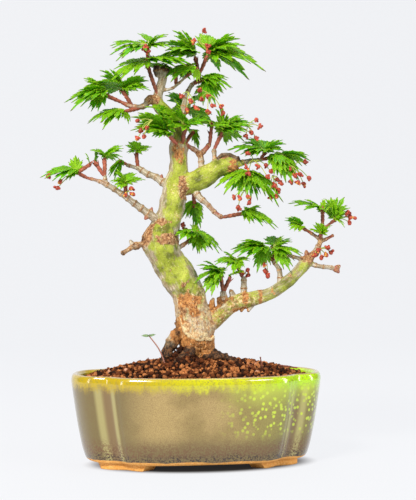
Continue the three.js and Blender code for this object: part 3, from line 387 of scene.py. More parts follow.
def unit(vectors: Array) -> Array:
    """Scale each row to length 1."""
    return vectors / np.maximum(np.linalg.norm(vectors, axis=-1, keepdims=True), 1e-9)


@dataclass(frozen=True)
class Path3:
    """A smooth route with a radius, a frame and the distance from its start at every sample."""

    points: Array
    radius: Array
    tangent: Array
    normal: Array
    binormal: Array
    along: Array

    def rings(self, radius: Array) -> Array:
        """Place points round each sample: P = C + r(N cos φ + B sin φ).

        Args:
            radius: distance from the route, by sample and side.

        Returns:
            Points by sample and side.
        """
        angle = np.arange(radius.shape[1]) * 2 * math.pi / radius.shape[1]
        cosine, sine = np.cos(angle)[None, :, None], np.sin(angle)[None, :, None]
        return self.points[:, None] + radius[..., None] * (
            self.normal[:, None] * cosine + self.binormal[:, None] * sine)

    @staticmethod
    def through(stations: tuple[Station, ...], step: float) -> "Path3":
        """Run a Catmull-Rom curve through the stations.

        P(t) = ½((2B) + (C-A)t + (2A-5B+4C-D)t² + (3B-A-3C+D)t³) between B and C with neighbours A and D.

        Args:
            stations: (x, y, z, radius) rows.
            step: distance between samples.

        Returns:
            The sampled path.
        """
        row = np.array(stations, float)
        if len(row) == 2:
            row = np.array([row[0], (row[0] + row[1]) / 2, row[1]])
        row = np.vstack([2 * row[0] - row[1], row, 2 * row[-1] - row[-2]])
        pieces = []
        for index in range(len(row) - 3):
            a, b, c, d = row[index:index + 4]
            count = max(2, round(float(np.linalg.norm((c - b)[:3])) / step))
            t = np.arange(count)[:, None] / count
            pieces.append(0.5 * (2 * b + (c - a) * t + (2 * a - 5 * b + 4 * c - d) * t**2
                                 + (3 * b - a - 3 * c + d) * t**3))
        line = np.vstack([*pieces, row[-2:-1]])
        points, radius = line[:, :3], np.maximum(line[:, 3], 0.2)
        tangent = unit(np.gradient(points, axis=0))
        normal = np.zeros_like(points)
        side = np.cross(tangent[0], [0.3, 1.0, 0.2])
        for index, direction in enumerate(tangent):
            side = unit(side - direction * side.dot(direction))
            normal[index] = side
        steps = np.linalg.norm(np.diff(points, axis=0), axis=1)
        along = np.concatenate([[0.0], np.cumsum(steps)])
        return Path3(points, radius, tangent, normal, np.cross(tangent, normal), along)


@dataclass
class Surface:
    """Vertices in millimetres, faces and named point values, joined as the shape grows."""

    vertices: Array = field(default_factory=lambda: np.zeros((0, 3)))
    faces: list[Array] = field(default_factory=list)
    values: dict[str, Array] = field(default_factory=dict)
    zone: list[Array] = field(default_factory=list)

    def add(self, vertices: Array, faces: list[Array], zone: int = 0, **values: Array | float) -> None:
        """Join another patch.

        Args:
            vertices: rows of x, y, z.
            faces: vertex numbers within the patch, by number of corners.
            zone: the material the patch takes.
            values: named values, one for all or one for each vertex.
        """
        start, count = len(self.vertices), len(vertices)
        rows = {name: value if np.ndim(value) else np.full(count, value) for name, value in values.items()}
        for name in rows.keys() | self.values.keys():
            shape = (self.values[name] if name in self.values else rows[name]).shape[1:]
            before = self.values.get(name, np.zeros((start, *shape)))
            self.values[name] = np.concatenate([before, rows.get(name, np.zeros((count, *shape)))])
        self.vertices = np.vstack([self.vertices, vertices])
        self.faces += [face + start for face in faces]
        self.zone += [np.full(len(face), zone) for face in faces]

    def build(self, name: str, materials: list[Material], smooth: bool = True) -> Object:
        """Make the Blender object, in metres, in the shared frame.

        Args:
            name: the piece's name.
            materials: one material per zone.
            smooth: whether the shading is smooth.

        Returns:
            The linked object at the origin.
        """
        mesh = bpy.data.meshes.new(name)
        corners = np.concatenate([face.ravel() for face in self.faces]).astype(np.int32)
        sizes = np.concatenate([np.full(len(face), face.shape[1]) for face in self.faces]).astype(np.int32)
        mesh.vertices.add(len(self.vertices))
        mesh.vertices.foreach_set("co", (self.vertices * MM + np.array(ORIGIN)).astype(np.float32).ravel())
        mesh.loops.add(len(corners))
        mesh.loops.foreach_set("vertex_index", corners)
        mesh.polygons.add(len(sizes))
        starts, zones = np.append(0, np.cumsum(sizes)[:-1]), np.concatenate(self.zone)
        for label, row in (("loop_start", starts), ("loop_total", sizes), ("material_index", zones)):
            mesh.polygons.foreach_set(label, row.astype(np.int32))
        mesh.polygons.foreach_set("use_smooth", np.full(len(sizes), smooth))
        mesh.update(calc_edges=True)
        mesh.validate()
        for label, value in self.values.items():
            kind = "FLOAT_VECTOR" if value.ndim == 2 else "FLOAT"
            layer, part = mesh.attributes.new(label, kind, "POINT"), "vector" if value.ndim == 2 else "value"
            layer.data.foreach_set(part, value.astype(np.float32).ravel())
        for material in materials:
            mesh.materials.append(material)
        piece = bpy.data.objects.new(name, mesh)
        bpy.context.scene.collection.objects.link(piece)
        return piece


def grid_faces(rows: int, columns: int, wrap: bool, flip: bool = False) -> Array:
    """Number the four-sided faces of a grid of points.

    Args:
        rows: how many rows of points.
        columns: points in each row.
        wrap: whether the last column joins the first.
        flip: whether the faces are turned round.

    Returns:
        One row of four vertex numbers per face.
    """
    last = columns if wrap else columns - 1
    row, column = np.meshgrid(np.arange(rows - 1), np.arange(last), indexing="ij")
    after = (column + 1) % columns
    faces = np.stack([row * columns + column, row * columns + after,
                      (row + 1) * columns + after, (row + 1) * columns + column], axis=-1).reshape(-1, 4)
    return faces[:, ::-1] if flip else faces


def fan_faces(ring_start: int, columns: int, pole: int, flip: bool) -> Array:
    """Number the three-sided faces that close a ring with one point.

    Args:
        ring_start: the ring's first vertex number.
        columns: points in the ring.
        pole: the closing point's number.
        flip: whether the faces are turned round.

    Returns:
        One row of three vertex numbers per face.
    """
    column = np.arange(columns)
    after = (column + 1) % columns
    faces = np.stack([ring_start + column, ring_start + after, np.full(columns, pole)], axis=-1)
    return faces[:, ::-1] if flip else faces


def closed_faces(rows: int, columns: int) -> list[Array]:
    """Number the faces of rings, and of the fans to two poles that come after the rings."""
    total = rows * columns
    return [grid_faces(rows, columns, True), fan_faces(0, columns, total, True),
            fan_faces(total - columns, columns, total + 1, False)]


def tube(path: Path3, sides: int, profile: Array | None = None) -> tuple[Array, list[Array], Array]:
    """Sweep a ring along a path and close both ends.

    Args:
        path: the route.
        sides: points round it.
        profile: factor on the radius for each ring and side.

    Returns:
        Vertices, faces, and the row (angle / 2π, distance along, radius) of each vertex.
    """
    angle = np.arange(sides) * 2 * math.pi / sides
    factor = np.ones((len(path.points), sides)) if profile is None else profile
    radius = path.radius[:, None] * factor
    caps = np.array([path.points[0] - path.tangent[0] * path.radius[0] * 0.4,
                     path.points[-1] + path.tangent[-1] * path.radius[-1] * 0.4])
    vertices = np.vstack([path.rings(radius).reshape(-1, 3), caps])
    marks = np.stack(np.broadcast_arrays(angle[None] / (2 * math.pi), path.along[:, None], radius), axis=-1)
    ends = np.array([[0, 0, 0.1], [0, path.along[-1], 0.1]])
    return vertices, closed_faces(len(path.points), sides), np.vstack([marks.reshape(-1, 3), ends])


# ---- finishes


class Recipe:
    """A procedural material while it is put together."""

    def __init__(self, name: str) -> None:
        """Start an empty node tree.

        Args:
            name: the material's name.
        """
        self.material = bpy.data.materials.new(name)
        self.material.use_nodes = True
        self.tree = self.material.node_tree
        self.tree.nodes.clear()

    def add(self, kind: str, inputs: dict[Any, Any], output: int = 0, **settings: Any) -> NodeSocket:
        """Add a node, set it and link it.

        Args:
            kind: the node's type name after ShaderNode.
            inputs: a value or a socket for each input.
            output: which output is wanted.
            **settings: the node's own properties.

        Returns:
            The wanted output socket.
        """
        node = self.tree.nodes.new("ShaderNode" + kind)
        for name, value in settings.items():
            setattr(node, name, value)
        for name, value in inputs.items():
            if isinstance(value, NodeSocket):
                self.tree.links.new(value, node.inputs[name])
            else:
                node.inputs[name].default_value = value
        return node.outputs[output] if len(node.outputs) else None

    def between(self, value: NodeSocket, low: float, high: float) -> NodeSocket:
        """Turn a value into a soft mask: 0 at low and 1 at high, whichever is greater."""
        flipped = {"From Min": high, "From Max": low, "To Min": 1.0, "To Max": 0.0}
        ends = {"From Min": low, "From Max": high} if low < high else flipped
        return self.add("MapRange", {"Value": value, **ends}, interpolation_type="SMOOTHSTEP")

    def coats(self, first: Any, *layers: tuple[Any, ...]) -> NodeSocket:
        """Paint colours over each other.

        Args:
            first: the lowest colour, as sRGB hex, RGBA or a socket.
            *layers: mask, colour and perhaps a second mask that the first is multiplied by.

        Returns:
            The resulting colour.
        """
        result = srgb(first) if isinstance(first, str) else first
        for mask, colour, *share in layers:
            top = srgb(colour) if isinstance(colour, str) else colour
            cover = self.add("Math", {0: mask, 1: share[0]}, operation="MULTIPLY") if share else mask
            result = self.add("Mix", {0: cover, 6: result, 7: top}, 2, data_type="RGBA")
        return result

    def close(self, inputs: dict[str, Any], height: Any, depth: float, through: float = 0.0,
              through_colour: Any = None) -> Material:
        """End the recipe with a surface shader.

        Args:
            inputs: values for the surface shader.
            height: the bump's height field.
            depth: the bump's real depth in millimetres.
            through: share of light that passes through a thin blade.
            through_colour: colour of that light.

        Returns:
            The finished material.
        """
        bump = self.add("Bump", {"Strength": 1.0, "Distance": depth * MM, "Height": height})
        shader = self.add("BsdfPrincipled", {**inputs, "Normal": bump})
        if through:
            light = self.add("BsdfTranslucent", {"Color": through_colour, "Normal": bump})
            shader = self.add("MixShader", {0: through, 1: shader, 2: light})
        self.add("OutputMaterial", {"Surface": shader})
        return self.material


@dataclass(frozen=True)
class BarkFinish:
    """Maple bark: smooth green young bark, grey-tan twigs, orange cork, dark roots and pale callus."""

    grey: str = "#a18f70"
    grey_light: str = "#d1c7b2"
    green_dark: str = "#66701c"
    green: str = "#a3b036"
    green_light: str = "#c0c952"
    scar: str = "#855431"
    scar_light: str = "#cf9f6c"
    cork: str = "#a86a35"
    cork_light: str = "#dea05c"
    crack: str = "#4a2a14"
    root: str = "#21160d"
    root_light: str = "#7a5230"
    callus: str = "#ead6a6"
    red: str = "#a4503a"
    fleck: str = "#8d5a34"

    def make(self) -> Material:
        """Mix the zones by the masks that the wood carries.

        Returns:
            The material.
        """
        r = Recipe("maple_bark")
        grain = r.add("Attribute", {}, 1, attribute_name="grain")
        masks = {name: r.add("Attribute", {}, 2, attribute_name=name)
                 for name in ("green", "scar", "cork", "dark", "pale", "red", "pit", "old")}
        stretch = r.add("Mapping", {"Vector": grain, "Scale": (1.0, 1.0, 0.22)})
        place = r.add("TexCoord", {}, 3)
        broad, streak, fine, grit, frayed = (
            r.add("TexNoise", {"Vector": space, "Scale": scale, "Detail": detail, "Roughness": broken})
            for space, scale, detail, broken in ((place, 110.0, 3.0, 0.5), (stretch, 0.55, 5.0, 0.62),
                                                 (place, 1300.0, 4.0, 0.6), (place, 480.0, 5.0, 0.7),
                                                 (stretch, 1.1, 5.0, 0.7)))
        speck = r.add("TexVoronoi", {"Vector": place, "Scale": 300.0})
        freckle = r.add("TexVoronoi", {"Vector": stretch, "Scale": 0.5})
        for name in ("scar", "cork", "pale", "old", "green"):
            torn = r.add("Math", {0: frayed, 1: 1.5, 2: -0.75}, operation="MULTIPLY_ADD")
            masks[name] = r.between(r.add("Math", {0: masks[name], 1: torn}, operation="ADD"), 0.3, 0.72)
        green = r.coats(self.green_dark, (r.between(broad, 0.32, 0.5), self.green),
                        (r.between(broad, 0.5, 0.68), self.green_light))
        grey = r.coats(self.grey, (r.between(streak, 0.42, 0.62), self.grey_light))
        scar = r.coats(self.scar, (r.between(grit, 0.4, 0.66), self.scar_light),
                       (r.between(frayed, 0.54, 0.66), self.callus),
                       (r.between(grit, 0.44, 0.33), self.crack))
        cork = r.coats(self.cork, (r.between(grit, 0.38, 0.66), self.cork_light),
                       (r.between(frayed, 0.56, 0.68), self.callus),
                       (r.between(grit, 0.45, 0.34), self.scar, 0.8),
                       (r.between(masks["pit"], 0.55, 0.95), self.crack, 0.8))
        dark = r.coats(self.root, (r.between(grit, 0.46, 0.62), self.root_light))
        colour = r.coats(
            grey, (masks["green"], green),
            (masks["old"], self.callus, r.between(grit, 0.5, 0.62)),
            (masks["old"], self.scar_light, r.between(frayed, 0.52, 0.42)),
            (masks["old"], self.scar, r.between(grit, 0.45, 0.36)),
            (r.between(streak, 0.55, 0.72), self.grey_light, 0.3),
            (r.between(freckle, 0.2, 0.1), self.fleck, 0.6),
            (r.between(speck, 0.12, 0.05), self.callus, 0.5),
            (masks["red"], self.red), (masks["scar"], scar), (masks["cork"], cork), (masks["dark"], dark),
            (masks["pale"], r.coats(self.callus, (r.between(grit, 0.55, 0.4), self.scar_light))),
            (r.between(fine, 0.56, 0.36), self.crack, 0.36))
        height = r.add("Math", {0: fine, 1: grit}, operation="ADD")
        return r.close({"Base Color": colour, "Roughness": 0.72, "Specular IOR Level": 0.35}, height, 0.35)


@dataclass(frozen=True)
class LeafFinish:
    """A maple blade, petiole, bud scale or flower, coloured by the marks that its surface carries."""

    name: str
    deep: str
    middle: str
    bright: str
    vein: str
    tip: str
    through: float
    roughness: float = 0.42

    def make(self) -> Material:
        """Mix the colours by the place across and along the blade.

        Returns:
            The material.
        """
        r = Recipe(self.name)
        across, along, tone = (r.add("Attribute", {}, 2, attribute_name=mark)
                               for mark in ("across", "along", "tone"))
        place = r.add("TexCoord", {}, 3)
        patch = r.add("TexNoise", {"Vector": place, "Scale": 260.0, "Detail": 3.0})
        crinkle = r.add("TexNoise", {"Vector": place, "Scale": 700.0, "Detail": 4.0, "Roughness": 0.65})
        colour = r.coats(
            self.deep, (r.between(patch, 0.35, 0.6), self.middle),
            (tone, self.bright),
            (r.between(across, 0.45, 1.0), self.bright, 0.75),
            (r.between(across, 0.12, 0.03), self.vein, 0.6),
            (r.between(crinkle, 0.5, 0.34), self.deep, 0.6),
            (r.between(along, 0.955, 0.995), self.tip))
        shader = {"Base Color": colour, "Roughness": self.roughness, "Specular IOR Level": 0.45}
        return r.close(shader, crinkle, 0.14, self.through, colour)


BLADE = LeafFinish("maple_blade", "#3a9d08", "#66c80c", "#c2ea22", "#c2e45c", "#7a5a1e", 0.42)
STALK = LeafFinish("petiole", "#88a83a", "#a9c24c", "#c9c862", "#c2c66a", "#a9b850", 0.1)
SCALE = LeafFinish("bud_scale", "#5f331c", "#9a5636", "#cc6c58", "#b0603c", "#3f2014", 0.1)
FLOWER = LeafFinish("maple_flower", "#7c2518", "#b23a2a", "#dc604c", "#c47a38", "#dfa03a", 0.12)


@dataclass(frozen=True)
class PotFinish:
    """Stoneware: a buff glaze under a yellow-green rim that runs and spots, bare orange clay below, and
    painted shade and highlights.
    """

    body: str = "#958048"
    # a pale glaze tone, also used for the painted highlight just under the lip
    body_pale_and_painted_highlight: str = "#b0985e"
    # painted shade for the pot's ends and lower wall
    body_painted_shade: str = "#746739"
    body_right: str = "#918b3e"
    rim_left: str = "#b89f1a"
    rim: str = "#c6c81c"
    rim_right: str = "#b4e012"
    spot: str = "#c2d63c"
    # painted highlight beside the grooves
    groove_painted_highlight: str = "#d0c884"
    low: str = "#6d4b2b"
    dark: str = "#2a1d10"
    clay: str = "#e89e44"
    clay_light: str = "#f6b96a"

    def make(self) -> Material:
        """Band the glaze by height above the table and place along the pot, with painted shade and
        highlights.

        Returns:
            The material.
        """
        r = Recipe("stoneware_glaze")
        place = r.add("TexCoord", {}, 3)
        x = r.add("SeparateXYZ", {0: place}, 0)
        z = r.add("SeparateXYZ", {0: place}, 2)
        run = r.add("Mapping", {"Vector": place, "Scale": (1.0, 1.0, 0.3)})
        drip, broad, grain, speck = (
            r.add("TexNoise", {"Vector": space, "Scale": scale, "Detail": detail, "Roughness": broken})
            for space, scale, detail, broken in ((run, 150.0, 4.0, 0.65), (place, 34.0, 3.0, 0.5),
                                                 (place, 1500.0, 3.0, 0.7), (place, 700.0, 4.0, 0.75)))
        spots = r.add("TexVoronoi", {"Vector": place, "Scale": 270.0})
        ragged = r.add("Math", {0: speck, 1: 0.012, 2: -0.006}, operation="MULTIPLY_ADD")
        drop = r.add("Math", {0: drip, 1: 0.012, 2: ragged}, operation="MULTIPLY_ADD")
        edge = r.add("Math", {0: z, 1: drop}, operation="ADD")
        rim_mask = r.between(edge, 0.0655, 0.0735)
        fleck = r.add("Math", {0: rim_mask, 1: r.between(speck, 0.5, 0.34)}, operation="MULTIPLY")
        rim = r.coats(self.rim_left, (r.between(x, -0.07, 0.01), self.rim),
                      (r.between(x, 0.015, 0.07), self.rim_right),
                      (r.between(drip, 0.5, 0.34), self.body, 0.4))
        body = r.coats(self.body, (r.between(broad, 0.4, 0.62), self.body_pale_and_painted_highlight),
                       (r.between(x, 0.0, 0.06), self.body_right),
                       # painted shade: darker towards both ends of the pot and towards the bottom
                       (r.between(x, 0.06, 0.1), self.body_painted_shade),
                       (r.between(x, -0.04, -0.075), self.body_painted_shade),
                       (r.between(z, 0.032, 0.014), self.body_painted_shade),
                       (r.between(grain, 0.56, 0.4), self.low, 0.45))
        right_side = r.between(x, 0.0, 0.04)
        wide = r.add("Math", {0: right_side, 1: r.between(broad, 0.3, 0.46)}, operation="MULTIPLY")
        high = r.add("Math", {0: wide, 1: r.between(z, 0.022, 0.036)}, operation="MULTIPLY")
        spotted = r.add("Math", {0: high, 1: r.between(spots, 0.44, 0.24)}, operation="MULTIPLY")
        ragged_low, ragged_black = r.between(speck, 0.46, 0.54), r.between(speck, 0.5, 0.55)
        low = r.add("Math", {0: r.between(edge, 0.034, 0.021), 1: ragged_low}, operation="MULTIPLY")
        black = r.add("Math", {0: r.between(edge, 0.0215, 0.0165), 1: ragged_black}, operation="MULTIPLY")
        # beside each groove a painted highlight, and in its crease painted shade in the low colour
        groove = r.add("Attribute", {}, 2, attribute_name="groove")
        lower = r.between(z, 0.071, 0.06)
        beside = r.add("Math", {0: r.between(groove, 0.3, 0.56), 1: lower}, operation="MULTIPLY")
        body = r.coats(body, (beside, self.groove_painted_highlight, 0.42),
                       (r.between(groove, 0.7, 0.96), self.low, 0.75))
        haze = r.add("Math", {0: wide, 1: r.between(z, 0.042, 0.076)}, operation="MULTIPLY")
        glaze = r.coats(body, (haze, self.spot), (low, self.low), (black, self.dark), (spotted, self.spot),
                        (rim_mask, rim), (fleck, self.body_right),
                        # painted highlight: a pale line just under the lip
                        (r.between(z, 0.0715, 0.0725), self.body_pale_and_painted_highlight))
        line = r.add("Math", {0: broad, 1: 0.004, 2: z}, operation="MULTIPLY_ADD")
        bare = r.between(line, 0.0098, 0.009)
        clay = r.coats(self.clay, (r.between(speck, 0.4, 0.62), self.clay_light))
        colour = r.coats(glaze, (bare, clay))
        roughness = r.add("MapRange", {"Value": bare, "To Min": 0.16, "To Max": 0.8})
        gloss = r.add("MapRange", {"Value": bare, "To Min": 0.6, "To Max": 0.0})
        pores = r.add("Math", {0: speck, 1: bare}, operation="MULTIPLY")
        height = r.add("Math", {0: broad, 1: pores}, operation="ADD")
        return r.close({"Base Color": colour, "Roughness": roughness, "Coat Weight": gloss,
                        "Coat Roughness": 0.04, "IOR": 1.5}, height, 0.5)


@dataclass(frozen=True)
class EarthFinish:
    """Fired clay grains: matt red-brown lumps whose tone changes from one to the next."""

    dark: str = "#261107"
    middle: str = "#713c1d"
    light: str = "#c8814c"
    pink: str = "#cf9a7c"

    def make(self) -> Material:
        """Colour each grain by its own tone.

        Returns:
            The material.
        """
        r = Recipe("fired_clay_grains")
        tone = r.add("Attribute", {}, 2, attribute_name="tone")
        place = r.add("TexCoord", {}, 3)
        grain = r.add("TexNoise", {"Vector": place, "Scale": 900.0, "Detail": 4.0, "Roughness": 0.7})
        colour = r.coats(self.dark, (r.between(tone, 0.12, 0.5), self.middle),
                         (r.between(tone, 0.55, 0.95), self.light),
                         (r.between(grain, 0.55, 0.4), self.dark, 0.5),
                         (r.between(tone, 0.993, 0.996), self.pink))
        return r.close({"Base Color": colour, "Roughness": 0.92, "Specular IOR Level": 0.2}, grain, 0.4)


@dataclass(frozen=True)
class PlainFinish:
    """A plain material with fine mottling: wire, plastic mesh, pumice grit, dry twig or seedling."""

    name: str
    colour: str
    shade: str
    size: float
    roughness: float
    metal: float = 0.0
    depth: float = 0.1

    def make(self) -> Material:
        """Mottle the colour at the finish's own grain size.

        Returns:
            The material.
        """
        r = Recipe(self.name)
        place = r.add("TexCoord", {}, 3)
        grain = r.add("TexNoise", {"Vector": place, "Scale": 1 / (self.size * MM), "Detail": 4.0})
        colour = r.coats(self.colour, (r.between(grain, 0.55, 0.35), self.shade))
        shader = {"Base Color": colour, "Roughness": self.roughness, "Metallic": self.metal}
        return r.close(shader, grain, self.depth)


@dataclass(frozen=True)
class SweepFinish:
    """Back-lit white paper: it glows evenly and still takes a faint shadow, but a painted shadow dims its
    glow under the pot.
    """

    paper: str = "#f1f2f5"
    tooth: str = "#eceef2"
    glow: float = 0.95
    share: float = 0.08        # of the light that falls on it
    # sets the size of the painted shadow under the pot
    shade: Point = (12.0, 21.5, 0.0)    # one over the half sizes, in metres, of the pot's shade

    def make(self) -> Material:
        """Let the paper glow, dimmed under the pot as a painted shadow, and scatter a small share of the
        light.

        Returns:
            The material.
        """
        r = Recipe("paper_sweep")
        place = r.add("TexCoord", {}, 3)
        tooth = r.add("TexNoise", {"Vector": place, "Scale": 900.0, "Detail": 3.0})
        paper = r.coats(self.paper, (r.between(tooth, 0.6, 0.3), self.tooth))
        grey = r.coats((0.0, 0.0, 0.0, 1.0), (self.share, paper))
        # painted shadow: the glow fades out inside an ellipse under the pot
        near = r.add("Mapping", {"Vector": place, "Scale": self.shade})
        away = r.add("VectorMath", {0: near}, 1, operation="LENGTH")
        glow_with_painted_shadow = r.add("MapRange", {"Value": away, "From Min": 0.86, "From Max": 1.16, "To Min": 0.02,
                                           "To Max": self.glow}, interpolation_type="SMOOTHSTEP")
        return r.close({"Base Color": grey, "Roughness": 1.0, "Specular IOR Level": 0.0,
                        "Emission Color": paper, "Emission Strength": glow_with_painted_shadow}, tooth, 0.05)


WIRE = PlainFinish("annealed_aluminium_wire", "#a9825a", "#8a6644", 0.6, 0.38, 0.9, 0.03)
MESH = PlainFinish("black_polyethylene_net", "#2c2e2b", "#1e201d", 0.5, 0.55, 0.0, 0.05)
PUMICE = PlainFinish("pumice_grit", "#a59c8d", "#6f675b", 1.8, 0.95, 0.0, 0.9)
TWIG = PlainFinish("dry_maple_twig", "#8a4f3e", "#4e2c22", 1.2, 0.85, 0.0, 0.2)
SEEDLING_STEM = PlainFinish("seedling_stem", "#b07a68", "#8e5a48", 1.0, 0.6)
SEEDLING_LEAF = PlainFinish("seedling_leaf", "#7f9a6c", "#5b774c", 1.4, 0.6)


# ---- the tree's wood


@dataclass(frozen=True)
class Skin:
    """The wood's skin by vertex. A row of grain is (radial x, radial y, distance along the limb)."""

    vertices: Array
    normals: Array
    limb: Array
    grain: Array
    radius: Array
    masks: dict[Feature, Array]


@dataclass
class TreeWood:
    """Trunk, roots, limbs and twigs, grown together into one skin and then roughened."""

    skin: float = 0.62         # edge of one patch of the skin
    ring_gap: float = 6.5      # between the rings that old buds leave on a twig
    twig_radius: float = 3.3   # limbs thinner than this are young twigs
    ridge: float = 0.75        # height of the long ridges on the trunk
    trunk_sides: int = 40
    limb_sides: int = 24

    def routes(self) -> dict[str, Path3]:
        """Sample every limb's route, by name."""
        rows = {"trunk": TRUNK, **LIMBS, **SPURS, "callus": CALLUS, "cut_rim": CUT_RIM}
        return {name: Path3.through(stations, 0.9) for name, stations in rows.items()}

    def lumps(self, path: Path3, sides: int, seed: int) -> Array:
        """Vary the radius: 1 + 0.12·noise, plus a ring every few millimetres on twigs.

        Args:
            path: the route.
            sides: points round it.
            seed: chooses the noise.

        Returns:
            A factor for each ring and side.
        """
        ring = path.rings(np.repeat(path.radius[:, None], sides, axis=1))
        factor = 1 + 0.12 * rough(ring.reshape(-1, 3), 7.0, seed).reshape(ring.shape[:2])
        thin = path.radius < self.twig_radius
        phase = (path.along + seed * 1.7) % self.ring_gap - self.ring_gap / 2
        factor += (np.where(thin, 0.28, 0.0) * np.exp(-((phase / 0.75) ** 2)))[:, None]
        return factor

    def owners(self, vertices: Array, paths: dict[str, Path3]) -> tuple[Array, Array, Array]:
        """Find the limb of each skin vertex: the one with the least distance minus radius.

        Args:
            vertices: skin vertices.
            paths: the limbs' routes.

        Returns:
            The limb's number, the row of grain and the limb's radius there.
        """
        number = np.repeat(np.arange(len(paths)), [len(path.points) for path in paths.values()])
        stack = {name: np.concatenate([getattr(path, name) for path in paths.values()])
                 for name in ("points", "radius", "normal", "binormal", "along")}
        best = np.zeros(len(vertices), np.int64)
        for start in range(0, len(vertices), 4000):
            block = vertices[start:start + 4000]
            gap = np.linalg.norm(block[:, None] - stack["points"][None], axis=2) - stack["radius"][None]
            best[start:start + 4000] = gap.argmin(axis=1)
        offset = vertices - stack["points"][best]
        grain = np.stack([(offset * stack["normal"][best]).sum(1), (offset * stack["binormal"][best]).sum(1),
                          stack["along"][best]], axis=1)
        return number[best], grain, stack["radius"][best]

    def patches(self, vertices: Array) -> dict[Feature, Array]:
        """Sum the patches of each kind: strength·exp(-|offset / reach|²), with a ragged edge.

        Args:
            vertices: skin vertices.

        Returns:
            A mask from 0 to 1 for each kind.
        """
        masks = {feature: np.zeros(len(vertices)) for feature in Feature}
        ragged = 0.5 * rough(vertices, 4.2, 91) + 0.25 * rough(vertices, 1.6, 57)
        for feature, rows in BARK_PATCHES.items():
            for centre, reach, strength in rows:
                value = strength * np.exp(-(((vertices - np.array(centre)) / np.array(reach)) ** 2).sum(1))
                masks[feature] = np.maximum(masks[feature], value)
        return {feature: np.clip((value + ragged * (value > 0.05) - 0.3) / 0.5, 0, 1)
                for feature, value in masks.items()}

    def build(self, material: Material) -> Object:
        """Join the limbs, take one skin over them, roughen it and mark its zones.

        Args:
            material: the bark.

        Returns:
            The finished piece.
        """
        paths = self.routes()
        rough_in = Surface()
        for index, (name, path) in enumerate(paths.items()):
            sides = self.trunk_sides if name == "trunk" else self.limb_sides
            rough_in.add(*tube(path, sides, self.lumps(path, sides, index))[:2])
        block = rough_in.build("wood_block", [])
        remesh = block.modifiers.new("skin", "REMESH")
        remesh.mode = "VOXEL"
        remesh.voxel_size = self.skin * MM
        relax = block.modifiers.new("relax", "SMOOTH")
        relax.iterations = 2
        depsgraph = bpy.context.evaluated_depsgraph_get()
        skin = block.evaluated_get(depsgraph).to_mesh()
        vertices, normals = np.empty((2, len(skin.vertices) * 3), np.float32)
        skin.vertices.foreach_get("co", vertices)
        skin.vertices.foreach_get("normal", normals)
        corners = np.empty(len(skin.loops), np.int32)
        skin.loops.foreach_get("vertex_index", corners)
        block.evaluated_get(depsgraph).to_mesh_clear()
        bpy.data.objects.remove(block)
        vertices = (vertices.reshape(-1, 3).astype(float) - np.array(ORIGIN)) / MM
        normals = normals.reshape(-1, 3).astype(float)
        limb, grain, radius = self.owners(vertices, paths)
        masks = self.patches(vertices)
        roots = ["root" in name and "stub" not in name and "tooth" not in name for name in paths]
        # roots turn dark towards the soil, below about 95 mm
        root_darkening = np.array(roots)[limb]
        root_darkening = root_darkening * np.clip((95 - vertices[:, 2]) / 7 + 0.6 * rough(vertices, 4.0, 29), 0, 1)
        masks[Feature.DARK] = np.maximum(masks[Feature.DARK], root_darkening)
        surface = Surface()
        skin = Skin(vertices, normals, limb, grain, radius, masks)
        moved = vertices + normals * self.relief(skin)[:, None]
        zones = self.zones(skin, list(paths))
        surface.add(moved, [corners.reshape(-1, 4)], 0, grain=grain, **zones)
        piece = surface.build("tree_wood_skin", [material])
        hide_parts("tree_wood")
        return piece

    @staticmethod
    def cracks(grain: Array) -> Array:
        """Mark the cracks: 1 where a noise drawn out along the grain crosses zero, 0 away from there."""
        return 1 - np.clip(np.abs(rough(grain * [1, 1, 0.55], 2.6, 47, 2)) / 0.16, 0, 1)

    def relief(self, skin: Skin) -> Array:
        """Height of the bark's relief.

        Long ridges follow the grain, scars and cork stand out in lumps, and cracks are cut into the cork.

        Args:
            skin: the skin.

        Returns:
            Millimetres along the normal.
        """
        vertices, grain, masks, radius = skin.vertices, skin.grain, skin.masks, skin.radius
        size = np.clip(radius / 10, 0.12, 1.0)
        stretched = grain * np.array([1.0, 1.0, 0.25])
        ridges = rough(stretched, 4.5, 11) * self.ridge + rough(vertices, 14.0, 23) * 0.9
        lumpy = rough(vertices, 3.4, 31, 4)
        scarred = np.maximum(masks[Feature.SCAR], 0.8 * masks[Feature.DARK])
        cork = masks[Feature.CORK]
        height = size * ridges + scarred * (0.3 + 1.0 * lumpy) * np.clip(size * 1.7, 0.35, 1)
        height += cork * (0.3 + 0.9 * lumpy - 0.8 * self.cracks(grain)) * np.clip(size * 1.6, 0.3, 1)
        height += masks[Feature.DARK] * 1.5 * rough(vertices, 3.0, 83, 3)
        fine = rough(vertices, 1.3, 71, 2)
        return height + 0.12 * fine * np.clip(size * 2, 0.4, 1)

